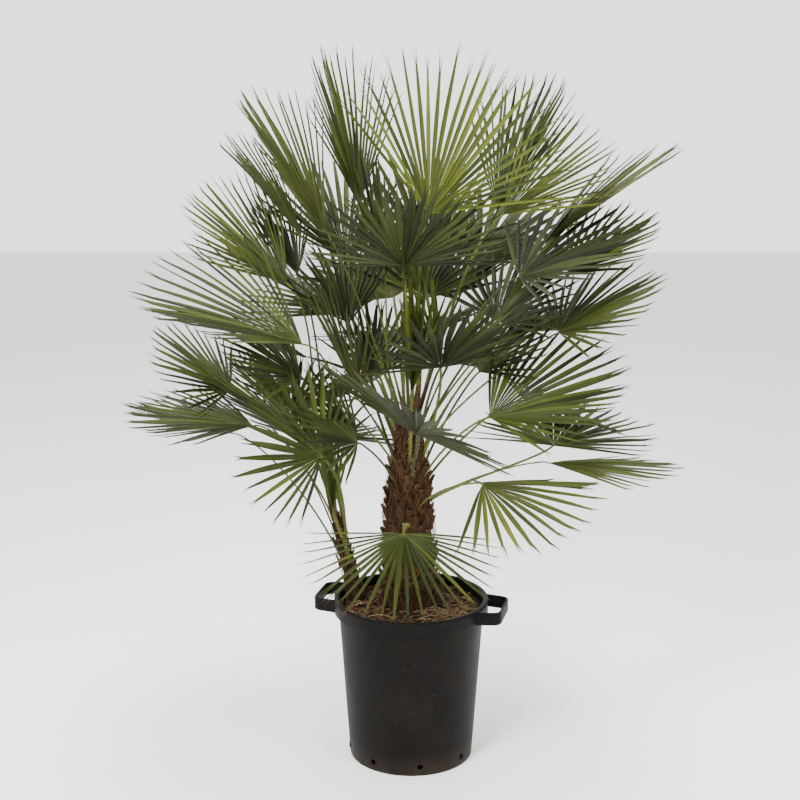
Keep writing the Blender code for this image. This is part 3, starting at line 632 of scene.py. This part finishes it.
def blade(sheaf, frond):
    """All leaflets of one fan."""
    rng = random.Random(frond.name)
    count = round(frond.leaflets * FINER)
    half_angle = 0.5 * frond.spread / count
    limp = rng.uniform(0.0, 0.035)
    # The frond's painted shade sets how dark its upper and under tones are
    under_shade = min(frond.painted_shade / 2 + 0.2, 2)
    for k in range(count):
        angle = ((k + 0.5) / count - 0.5) * frond.spread + rng.gauss(0, 0.10) * half_angle
        under = tone_near(under_shade, rng, 0.4, UNDER)
        share = rng.uniform(0.90, 1.0)
        tone = tone_near(frond.painted_shade, rng, 0.55, UPPER)
        leaflet(sheaf, frond, angle, half_angle, rng, tone, under, share, limp)


def across_and_up(frond, ahead):
    """Directions across a petiole and up from it, square to its own."""
    side = (frond.side - ahead * frond.side.dot(ahead)).normalized()
    return side, side.cross(ahead)


def stalk(sheaf, frond):
    """Petiole: flat above, round below, broad at the trunk, a rib under the fan. Gives its spines."""
    rng = random.Random("stalk " + frond.name)
    points = petiole_curve(frond, STALK_STEPS)
    points += [frond.hub + frond.along * frond.reach * share for share in RIB_REACHES]
    rings = []
    for i, centre in enumerate(points):
        ahead = (points[min(i + 1, len(points) - 1)] - points[max(i - 1, 0)]).normalized()
        side, up = across_and_up(frond, ahead)
        share = min(i / STALK_STEPS, 1.0)
        flare = max(0.0, 1 - share / BASE_LENGTH) ** 1.6
        width = STALK_WIDTH - STALK_TAPER * share + BASE_FLARE * flare
        deep = STALK_DEPTH - STALK_THINNING * share + BASE_SWELL * flare
        drop = 0.0
        if i > STALK_STEPS:
            fade = RIB_FADES[i - STALK_STEPS]
            width, deep = width * fade, deep * fade
            drop = PLEAT * 1.1
        elif i == STALK_STEPS:
            drop = PLEAT * 0.6
        for j in range(STALK_SIDES):
            turn = j * math.tau / STALK_SIDES
            rise = math.sin(turn) * deep
            rise = rise if rise < 0 else rise * 0.35
            rings.append(centre - up * drop + side * math.cos(turn) * width + up * rise)
    spans = len(points) - 1
    # Stalks of fronds with much painted shade take the shaded copy of the green
    green = TONE["stalk_green" if frond.painted_shade < SHADED_STALK_FROM else "stalk_deep"]
    brown = TONE["stalk_base"]
    sheath = rng.uniform(0.07, 0.15) * STALK_STEPS
    tones = [brown if i < sheath else green for i in range(spans) for j in range(STALK_SIDES)]
    maps = [(j, i) for i in range(len(points)) for j in range(STALK_SIDES)]
    sheaf.add([tuple(p) for p in rings], ring_faces(0, spans, STALK_SIDES), tones, maps)
    return spines(frond, points[:STALK_STEPS + 1], rng)


def spines(frond, points, rng):
    """Short hooked teeth along both edges of the petiole, as the corners of each."""
    found = []
    total = len(points) - 1
    place = 0.14 * total
    while place < 0.93 * total:
        i = int(place)
        centre = points[i].lerp(points[i + 1], place - i)
        ahead = (points[i + 1] - points[i]).normalized()
        side, up = across_and_up(frond, ahead)
        share = place / total
        edge = STALK_WIDTH - STALK_TAPER * share
        sign = rng.choice((-1, 1))
        size = rng.uniform(*SPINE_LENGTHS) * (1.15 - 0.5 * share)
        root = centre + side * sign * edge * 0.9
        tip = root + side * sign * size + ahead * size * 0.55
        half = size * 0.22
        corners = [root - ahead * half, root + up * half * 0.8]
        corners += [root + ahead * half, root - up * half * 0.8, tip]
        found.append(corners)
        place += rng.uniform(*SPINE_SPACING)
    return found


def tooth_piece(name, teeth, mat):
    """All petiole spines as one mesh of four-sided points."""
    points, faces = [], []
    for corners in teeth:
        start = len(points)
        points += corners
        faces += [tuple(i + start for i in side) for side in SPINE_SIDES]
    return new_object(name, raw_mesh(name, points, faces, [mat]))


def mesh_object(name, points, faces, mats, indices=None, smooth=True):
    """An object whose faces are turned outwards."""
    mesh = raw_mesh(name, points, faces, mats)
    if indices is not None:
        mesh.polygons.foreach_set("material_index", np.asarray(indices, np.int32))
    shell = bmesh.new()
    shell.from_mesh(mesh)
    bmesh.ops.recalc_face_normals(shell, faces=shell.faces)
    shell.to_mesh(mesh)
    shell.free()
    if smooth:
        mesh.shade_smooth()
    return new_object(name, mesh)


def fibre_material(name, dark, light, scale):
    """Matted fibre: long streaks up the trunk, with a coarse relief."""
    mat, tree, shader = new_material(name, FIBRE_SPECULAR)
    set_inputs(shader, {"Roughness": FIBRE_ROUGHNESS})
    place = tree.nodes.new("ShaderNodeTexCoord")
    stretch = tree.nodes.new("ShaderNodeMapping")
    set_inputs(stretch, {"Scale": (scale, scale, scale * FIBRE_STRETCH), "Rotation": FIBRE_LEAN})
    tree.links.new(place.outputs["Object"], stretch.inputs["Vector"])
    grain = noise_texture(tree, stretch.outputs["Vector"], 1.0, 8.0)
    set_inputs(grain, {"Roughness": 0.65})
    ramp = colour_ramp(tree, grain.outputs["Fac"], FIBRE_STOPS, dark, light)
    tree.links.new(ramp.outputs["Color"], shader.inputs["Base Color"])
    add_relief(tree, shader, grain.outputs["Fac"], 0.9, 0.003)
    return mat


def trunk_skin(trunk, mats):
    """Trunk body with matted relief and its spiral of old leaf bases."""
    rng = random.Random(trunk["node"])
    around, rows = (96, 150) if trunk["stubs"] > 10 else (48, 70)
    points = []
    for i in range(rows + 1):
        height = trunk["top"] * i / rows
        centre = axis_at(trunk, height)
        radius = girth_at(trunk["girth"], height)
        for j in range(around):
            angle = j * math.tau / around
            flute = 1 + 0.06 * math.sin(3 * angle + 9 * height)
            spot = Vector((math.cos(angle) * 3.2, math.sin(angle) * 3.2, height * 26))
            coarse = noise.fractal(spot, 0.8, 2.1, 4)
            fine = noise.noise(Vector((math.cos(angle) * 14, math.sin(angle) * 14, height * 60)))
            reach = radius * flute * (0.93 + 0.045 * coarse + 0.025 * fine)
            points.append(centre + Vector((reach * math.cos(angle), reach * math.sin(angle), 0)))
    faces = ring_faces(0, rows, around)
    faces += [tuple(reversed(range(around))), tuple(range(rows * around, (rows + 1) * around))]
    indices = [0] * len(faces)
    stubs = trunk["stubs"]
    for k in range(stubs * 2):
        share = (k / 2 + 0.5) / stubs
        height = trunk["top"] * (0.06 + 0.68 * share)
        angle = (k // 2) * GOLDEN_TURN + (k % 2) * 1.31
        leaf_base(trunk, height, angle, 1.0 if k % 2 == 0 else 0.8, rng, points, faces, indices)
    return mesh_object(trunk["node"] + "_bark", points, faces, mats, indices)


def leaf_base(trunk, height, angle, size, rng, points, faces, indices):
    """Old petiole base: a curved wedge that leans out of the trunk to a ragged cut end."""
    radius = girth_at(trunk["girth"], height)
    out = level_way(angle)
    side = Vector((-math.sin(angle), math.cos(angle), 0))
    length = STUB_LENGTH * (radius / 0.06) ** 0.5 * size * rng.uniform(0.9, 1.15)
    root = axis_at(trunk, height) + out * radius * 0.80
    start = len(points)
    stations, sides = 5, 10
    for i in range(stations):
        t = i / (stations - 1)
        centre = root + out * length * (0.10 + 0.50 * t ** 1.5) + Vector((0, 0, length * (-0.7 + 1.35 * t)))
        wide = radius * (0.42 - 0.20 * t) * size
        deep = (0.0085 - 0.0045 * t) * (radius / 0.06) ** 0.5
        for j in range(sides):
            turn = j * math.tau / sides
            ragged = rng.uniform(-0.0022, 0.0022) if t == 1 else rng.uniform(-0.0006, 0.0006)
            hug = -abs(math.cos(turn)) ** 2 * wide * 0.30
            points.append(centre + side * wide * math.cos(turn) + out * (deep * math.sin(turn) + hug)
                          + Vector((0, 0, ragged)))
    faces += ring_faces(start, stations - 1, sides)
    indices += [1] * (stations - 1) * sides
    faces.append(tuple(start + (stations - 1) * sides + j for j in range(sides)))
    indices.append(2)
    faces.append(tuple(reversed([start + j for j in range(sides)])))
    indices.append(1)


def loose_fibres(trunk, count, mat):
    """Thin strands that cross the trunk and stand a little off it."""
    rng = random.Random("fibres " + trunk["node"])
    points, faces = [], []
    for k in range(count):
        height = rng.uniform(0.02, 0.97) * trunk["top"]
        angle = rng.uniform(0, math.tau)
        drift = rng.uniform(-0.7, 0.7)
        rise = rng.uniform(0.015, 0.06) * rng.choice((1, 1, -1))
        lift = rng.uniform(0.98, 1.14)
        half = rng.uniform(0.0003, 0.0007)
        start = len(points)
        steps = 4
        for i in range(steps + 1):
            t = i / steps
            at = min(max(height + rise * t, 0.002), trunk["top"])
            radius = girth_at(trunk["girth"], at) * lift + 0.006 * math.sin(math.pi * t) * rng.random()
            turn = angle + drift * t
            out = level_way(turn)
            centre = axis_at(trunk, at) + out * radius
            side = Vector((-out.y, out.x, 0))
            for across, away in ((-1, -0.6), (1, -0.6), (0, 1)):
                points.append(centre + (side * across + out * away) * half)
        faces += strand_faces(start, steps)
    return mesh_object(trunk["node"] + "_fibres", points, faces, [mat])


def wall_radius(height):
    return BASE_RADIUS + (NECK_RADIUS - BASE_RADIUS) * height / (POT_HEIGHT - BAND_HEIGHT)


def arc(centre, radius, start, end, steps):
    """Points of a rounded edge, as radius and height."""
    found = []
    for k in range(steps + 1):
        turn = math.radians(start + (end - start) * k / steps)
        found.append((centre[0] + radius * math.cos(turn), centre[1] + radius * math.sin(turn)))
    return found


def turned_piece(name, profile, mat, sides=144):
    """Draws a round piece up from a filled circle, ring by ring, through radius and height."""
    bpy.ops.object.select_all(action="DESELECT")
    bpy.ops.mesh.primitive_circle_add(vertices=sides, radius=profile[0][0], fill_type="NGON",
                                      location=(0, 0, profile[0][1]))
    piece = bpy.context.object
    piece.name = name
    bpy.ops.object.transform_apply(location=True)
    bpy.ops.object.mode_set(mode="EDIT")
    for (radius, height), (wider, higher) in zip(profile, profile[1:]):
        bpy.ops.mesh.extrude_region_move(TRANSFORM_OT_translate={"value": (0, 0, higher - height)})
        scale = wider / radius
        bpy.ops.transform.resize(value=(scale, scale, 1), center_override=(0, 0, higher))
    bpy.ops.mesh.select_all(action="SELECT")
    bpy.ops.mesh.normals_make_consistent(inside=False)
    bpy.ops.object.mode_set(mode="OBJECT")
    bpy.ops.object.shade_smooth()
    piece.data.materials.append(mat)
    return piece


def pot_profile():
    neck = POT_HEIGHT - BAND_HEIGHT
    lip = 0.005
    profile = [(BASE_RADIUS - 0.014, 0.0015), (BASE_RADIUS - 0.010, 0.0)]
    profile += arc((BASE_RADIUS - 0.004, 0.004), 0.004, -90, 0, 4)
    profile += [(wall_radius(z), z) for z in (0.05, 0.12, 0.2, 0.28, 0.35)]
    profile += [(wall_radius(neck) - 0.0005, neck - 0.002), (wall_radius(neck) + 0.002, neck)]
    profile += arc((RIM_RADIUS - 0.0025, neck + 0.0025), 0.0025, -90, 0, 3)
    profile += [(RIM_RADIUS - 0.0008, neck + 0.016), (RIM_RADIUS - 0.0002, neck + 0.026)]
    profile += arc((RIM_RADIUS - lip, POT_HEIGHT - lip), lip, 0, 90, 5)
    profile += arc((LIP_RADIUS + lip, POT_HEIGHT - lip), lip, 90, 180, 5)
    profile += [(wall_radius(neck) - WALL, neck - 0.004), (wall_radius(0.2) - WALL, 0.2)]
    profile += [(wall_radius(FLOOR) - WALL, FLOOR)]
    return profile


def drill_holes(pot):
    """Cuts the drain holes with short rods, and sets a low moulded ring round each."""
    rings = []
    for k in range(HOLE_COUNT):
        turn = HOLE_TURN + k * math.tau / HOLE_COUNT
        radius = wall_radius(HOLE_HEIGHT)
        place = (radius * math.cos(turn), radius * math.sin(turn), HOLE_HEIGHT)
        tilt = (0, math.pi / 2, turn)
        bpy.ops.object.select_all(action="DESELECT")
        bpy.ops.mesh.primitive_cylinder_add(vertices=32, radius=HOLE_RADIUS, depth=0.03,
                                            location=place, rotation=tilt)
        rod = bpy.context.object
        cut = pot.modifiers.new("hole", "BOOLEAN")
        cut.operation = "DIFFERENCE"
        cut.object = rod
        bpy.context.view_layer.objects.active = pot
        bpy.ops.object.modifier_apply(modifier="hole")
        bpy.data.objects.remove(rod)
        bpy.ops.object.select_all(action="DESELECT")
        bpy.ops.mesh.primitive_torus_add(major_segments=40, minor_segments=10,
                                         major_radius=HOLE_RADIUS + 0.0022, minor_radius=0.0017,
                                         location=place, rotation=tilt)
        ring = bpy.context.object
        ring.data.transform(ring.matrix_world)
        ring.matrix_world = Matrix.Identity(4)
        rings.append(ring)
    bpy.ops.object.select_all(action="DESELECT")
    for ring in rings:
        ring.select_set(True)
    bpy.context.view_layer.objects.active = rings[0]
    bpy.ops.object.join()
    rings[0].name = "drain_rings"
    rings[0].data.shade_smooth()
    return rings[0]


def handle_strap(name, turn, mat):
    """Strap handle with rounded edges, swept along two shoulders, two corners and a grip."""
    half = HANDLE_HALF_WIDTH
    corner = 0.022
    bend = (HANDLE_REACH - corner, 0.030 - half)
    root = math.sqrt(RIM_RADIUS ** 2 - half ** 2) - 0.003
    path = [(root, -half), (HANDLE_REACH - corner - 0.006, -half + 0.006)]
    for k in range(9):
        angle = math.radians(-78 + k * 78 / 8)
        path.append((bend[0] + corner * math.cos(angle), bend[1] + corner * math.sin(angle)))
    path += [(x, -y) for x, y in reversed(path)]
    top, low = POT_HEIGHT - HANDLE_DROP, POT_HEIGHT - BAND_HEIGHT + 0.001
    points = []
    edge = 0.0018
    section = [(0, low + edge), (0, top - edge), (edge * 0.3, top - edge * 0.3), (edge, top),
               (HANDLE_STRAP - edge, top), (HANDLE_STRAP - edge * 0.3, top - edge * 0.3),
               (HANDLE_STRAP, top - edge), (HANDLE_STRAP, low + edge),
               (HANDLE_STRAP - edge, low), (edge, low)]
    sides = len(section)
    for i, (x, y) in enumerate(path):
        before, after = path[max(i - 1, 0)], path[min(i + 1, len(path) - 1)]
        ahead = Vector((after[0] - before[0], after[1] - before[1], 0)).normalized()
        inward = Vector((-ahead.y, ahead.x, 0))
        if i in (0, len(path) - 1):
            inward = Vector((0, math.copysign(1, -y), 0))
        for depth, height in section:
            p = Vector((x, y, 0)) + inward * depth
            points.append((p.x * math.cos(turn) - p.y * math.sin(turn),
                           p.x * math.sin(turn) + p.y * math.cos(turn), height))
    faces = ring_faces(0, len(path) - 1, sides)
    faces += [tuple(range(sides)), tuple(range((len(path) - 1) * sides, len(path) * sides))]
    obj = mesh_object(name, points, faces, [mat])
    obj.data.set_sharp_from_angle(angle=math.radians(40))
    return obj


def pot_material():
    """Matte black plastic, faintly clouded, with pale specks and some dust at the foot."""
    mat, tree, shader = new_material("pot_black", POT_SPECULAR)
    link = tree.links.new
    place = tree.nodes.new("ShaderNodeTexCoord").outputs["Object"]
    cloud = noise_texture(tree, place, 9.0, 6.0).outputs["Fac"]
    speck = noise_texture(tree, place, 130.0, 3.0).outputs["Fac"]
    base = colour_ramp(tree, cloud, POT_STOPS, POT_DARK, POT_LIGHT)
    specks = colour_ramp(tree, speck, SPECK_STOPS, BLACK, WHITE)
    split = tree.nodes.new("ShaderNodeSeparateXYZ")
    link(place, split.inputs["Vector"])
    foot = map_range(tree, split.outputs["Z"], (0.0, DUST_HEIGHT), (DUST_SHARE, 0.0))
    worn = tree.nodes.new("ShaderNodeMath")
    worn.operation = "MULTIPLY"
    link(foot, worn.inputs[0])
    link(cloud, worn.inputs[1])
    share = tree.nodes.new("ShaderNodeMath")
    share.operation = "MULTIPLY_ADD"
    set_inputs(share, {1: SPECK_SHARE})
    link(specks.outputs["Color"], share.inputs[0])
    link(worn.outputs["Value"], share.inputs[2])
    dusty = tree.nodes.new("ShaderNodeMix")
    dusty.data_type = "RGBA"
    set_inputs(dusty, {MIX_SECOND: (*DUST, 1)})
    link(share.outputs["Value"], dusty.inputs[MIX_SHARE])
    link(base.outputs["Color"], dusty.inputs[MIX_FIRST])
    link(dusty.outputs[MIX_COLOUR], shader.inputs["Base Color"])
    rough = map_range(tree, cloud, (0.0, 1.0), POT_ROUGHNESS)
    link(rough, shader.inputs["Roughness"])
    add_relief(tree, shader, speck, 0.12, 0.0006)
    return mat


def soil_bed(mat):
    """Uneven surface of the compost, out to the pot's wall."""
    reach = LIP_RADIUS - 0.0006
    rings, around = 34, 110
    points = [Vector((0, 0, SOIL_LEVEL))]
    for i in range(1, rings + 1):
        radius = reach * i / rings
        for j in range(around):
            turn = j * math.tau / around
            x, y = radius * math.cos(turn), radius * math.sin(turn)
            lump = noise.fractal(Vector((x * 40, y * 40, 0)), 0.9, 2.0, 4)
            points.append(Vector((x, y, SOIL_LEVEL + 0.0035 * lump - 0.002)))
    faces = [(0, 1 + j, 1 + (j + 1) % around) for j in range(around)]
    for i in range(rings - 1):
        for j in range(around):
            n = (j + 1) % around
            a = 1 + i * around
            faces.append((a + j, a + around + j, a + around + n, a + n))
    edge = 1 + (rings - 1) * around
    floor = len(points)
    points += [Vector((p.x, p.y, SOIL_LEVEL - 0.03)) for p in points[edge:edge + around]]
    for j in range(around):
        n = (j + 1) % around
        faces.append((edge + j, floor + j, floor + n, edge + n))
    faces.append(tuple(floor + j for j in range(around)))
    return mesh_object("compost", points, faces, [mat])


def clear_of_trunks(x, y):
    for trunk in TRUNKS.values():
        foot = trunk["foot"]
        if math.hypot(x - foot.x, y - foot.y) < trunk["girth"][0][1] * 0.95:
            return False
    return True


def chips(name, count, sizes, mats, seed, flatness):
    """Loose chips of bark lying every way on the compost."""
    rng = random.Random(seed)
    points, faces, indices = [], [], []
    made = 0
    while made < count:
        radius = (LIP_RADIUS - 0.012) * math.sqrt(rng.random())
        turn = rng.uniform(0, math.tau)
        x, y = radius * math.cos(turn), radius * math.sin(turn)
        if not clear_of_trunks(x, y):
            continue
        made += 1
        size = rng.uniform(*sizes)
        spin = Matrix.Rotation(rng.uniform(0, math.tau), 3, "Z") @ Matrix.Rotation(rng.gauss(0, 0.5), 3, "X")
        centre = Vector((x, y, SOIL_LEVEL + rng.uniform(-0.001, 0.0035)))
        start = len(points)
        long, wide = size, size * rng.uniform(0.35, 0.7)
        deep = size * flatness
        for z in (-1, 1):
            for u, v in ((-1, -0.7), (0.2, -1), (1, -0.4), (0.8, 0.8), (-0.4, 1), (-1, 0.3)):
                jig = Vector((rng.uniform(-0.2, 0.2), rng.uniform(-0.2, 0.2), rng.uniform(-0.2, 0.2)))
                corner = Vector((long * (u + jig.x), wide * (v + jig.y), deep * (z + jig.z))) * 0.5
                points.append(centre + spin @ corner)
        faces.append(tuple(start + j for j in reversed(range(6))))
        faces.append(tuple(start + 6 + j for j in range(6)))
        faces += ring_faces(start, 1, 6)
        indices += [rng.randrange(len(mats))] * 8
    return mesh_object(name, points, faces, mats, indices, smooth=False)


def dry_roots(mat):
    """Dry strands on the compost, thickest at the right of the front."""
    rng = random.Random(5)
    points, faces = [], []
    for k in range(DRY_ROOTS):
        if k < DRY_ROOTS_AT_RIGHT:
            x, y = rng.gauss(0.10, 0.035), rng.gauss(-0.09, 0.030)
        else:
            radius = 0.17 * math.sqrt(rng.random())
            turn = rng.uniform(0, math.tau)
            x, y = radius * math.cos(turn), radius * math.sin(turn)
        heading = rng.uniform(0, math.tau)
        length = rng.uniform(0.02, 0.07)
        bend = rng.uniform(-1.2, 1.2)
        half = rng.uniform(0.0004, 0.0011)
        start = len(points)
        steps = 5
        for i in range(steps + 1):
            t = i / steps
            way = heading + bend * t
            x += math.cos(way) * length / steps
            y += math.sin(way) * length / steps
            away = math.hypot(x, y)
            if away > DRY_ROOT_REACH:
                x, y = x * DRY_ROOT_REACH / away, y * DRY_ROOT_REACH / away
            lift = SOIL_LEVEL + 0.004 + 0.006 * math.sin(math.pi * t)
            side = Vector((-math.sin(way), math.cos(way), 0))
            for across, up in ((-1, -0.6), (1, -0.6), (0, 1)):
                points.append(Vector((x, y, lift)) + side * across * half + Vector((0, 0, up * half)))
        faces += strand_faces(start, steps)
    return mesh_object("dry_roots", points, faces, [mat])


def add_camera():
    data = bpy.data.cameras.new("camera")
    data.lens = 75
    data.sensor_width = 36
    camera = new_object("camera", data)
    camera.location = (-0.029, -4.085, 1.93)
    camera.rotation_euler = (math.radians(90 - 13.45), 0, 0)
    bpy.context.scene.camera = camera


def add_light(name, place, size, power):
    data = bpy.data.lights.new(name, "AREA")
    data.size = size
    data.energy = power
    light = new_object(name, data)
    light.location = place
    aim = Vector((0, 0, 0.9)) - Vector(place)
    light.rotation_euler = aim.to_track_quat("-Z", "Y").to_euler()


def studio_plane(name, size, place, rotation, shade, glow, variation):
    """A broad glowing sheet that is not part of the plant."""
    bpy.ops.object.select_all(action="DESELECT")
    bpy.ops.mesh.primitive_plane_add(size=size, location=place, rotation=rotation)
    plane = bpy.context.object
    plane.name = name
    mat = plain_material(name + "_white", (shade, shade, shade), 0.9, 2.0, variation, 0.0)
    shader = mat.node_tree.nodes["Principled BSDF"]
    set_inputs(shader, {"Emission Color": (*WHITE, 1), "Emission Strength": glow})
    plane.data.materials.append(mat)


def add_studio():
    """Pale floor and backdrop, pale surroundings and three broad soft lights."""
    studio_plane("floor", 40, (0, 0, 0), (0, 0, 0), 0.93, 0.22, 0.005)
    studio_plane("backdrop", 60, (0, 9, 0), (math.pi / 2, 0, 0), 0.9, 1.0, 0.0)
    world = bpy.data.worlds.new("studio")
    bpy.context.scene.world = world
    world.use_nodes = True
    set_inputs(world.node_tree.nodes["Background"], {"Color": (*WHITE, 1), "Strength": 0.55})
    add_light("key_light", (-1.8, -3.2, 3.6), 1.4, 430)
    add_light("fill_light", (2.8, -2.6, 2.4), 2.2, 150)
    add_light("top_light", (0.2, 0.6, 4.2), 2.2, 250)


def finish_piece(piece, slot, *replaced):
    """Rides a piece on the plant's one body and hides the solids that it stands for. Its slot is not used.
    """
    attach(piece, "root")
    if replaced:
        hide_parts(*replaced)


# Foliage
leaf_mats = [leaf_material(name) for name in TONES]
fronds = [Frond("main", *row) for row in MAIN_FRONDS]
fronds += [Frond("sucker", *row) for row in SUCKER_FRONDS] + back_fronds()
fronds = [f for f in fronds if f"frond_{f.name}" in nodes]
fans, stalks, teeth, members = {}, Sheaf(), [], {}
for frond in fronds:
    settle(frond)
    group = GROUPS.get(frond.name.split("_")[0], "inner")
    blade(fans.setdefault(group, Sheaf()), frond)
    teeth += stalk(stalks, frond)
    members.setdefault(group, []).append(f"frond_{frond.name}")
for group, sheaf in fans.items():
    finish_piece(sheaf.piece(f"fans_{group}", leaf_mats), "fan_leaf", *members[group])
finish_piece(stalks.piece("petioles", leaf_mats), "fan_leaf")
finish_piece(tooth_piece("petiole_spines", teeth, leaf_mats[TONE["spine_tan"]]), "fan_leaf")

# Trunks
fibre = fibre_material("matted_fibre", (0.0024, 0.0014, 0.0008), (0.042, 0.021, 0.009), 240)
boot = fibre_material("old_leaf_base", (0.004, 0.0023, 0.0012), (0.062, 0.030, 0.012), 170)
cut_end = fibre_material("cut_end", (0.030, 0.016, 0.008), (0.130, 0.078, 0.040), 400)
strand = plain_material("strand", (0.085, 0.042, 0.018), 0.85, 60.0, 0.4, 0.2)
for trunk in TRUNKS.values():
    finish_piece(trunk_skin(trunk, [fibre, boot, cut_end]), "trunk_fibre", trunk["node"])
    finish_piece(loose_fibres(trunk, 1200 if trunk["stubs"] > 10 else 160, strand), "trunk_fibre")

# Pot, handles and compost
black = pot_material()
pot_piece = turned_piece("nursery_pot", pot_profile(), black)
rings_piece = drill_holes(pot_piece)
rings_piece.data.materials.clear()
rings_piece.data.materials.append(black)
pot_piece.data.set_sharp_from_angle(angle=math.radians(38))
finish_piece(pot_piece, "pot_plastic", "pot")
finish_piece(rings_piece, "pot_plastic")
for node, turn in HANDLE_TURNS.items():
    finish_piece(handle_strap(node + "_strap", turn, black), "pot_plastic", node)
earth = plain_material("dark_compost", (0.014, 0.008, 0.005), 0.95, 220.0, 0.6, 1.0)
bark_mats = [plain_material("bark_dark", (0.017, 0.009, 0.005), 0.9, 90.0, 0.5, 0.6),
             plain_material("bark_red", (0.045, 0.020, 0.009), 0.9, 90.0, 0.5, 0.6),
             plain_material("bark_brown", (0.075, 0.042, 0.021), 0.9, 90.0, 0.4, 0.6)]
speck_mats = [plain_material("pale_speck", (0.48, 0.42, 0.33), 0.9, 60.0, 0.3, 0.3)]
finish_piece(soil_bed(earth), "potting_bark", "soil")
finish_piece(chips("bark_chips", 1500, (0.004, 0.015), bark_mats, 3, 0.35), "potting_bark")
finish_piece(chips("pale_specks", 60, (0.0015, 0.004), speck_mats, 4, 0.6), "potting_bark")
dry = plain_material("dry_strand", (0.20, 0.13, 0.065), 0.85, 60.0, 0.35, 0.2)
finish_piece(dry_roots(dry), "potting_bark")

add_studio()
add_camera()
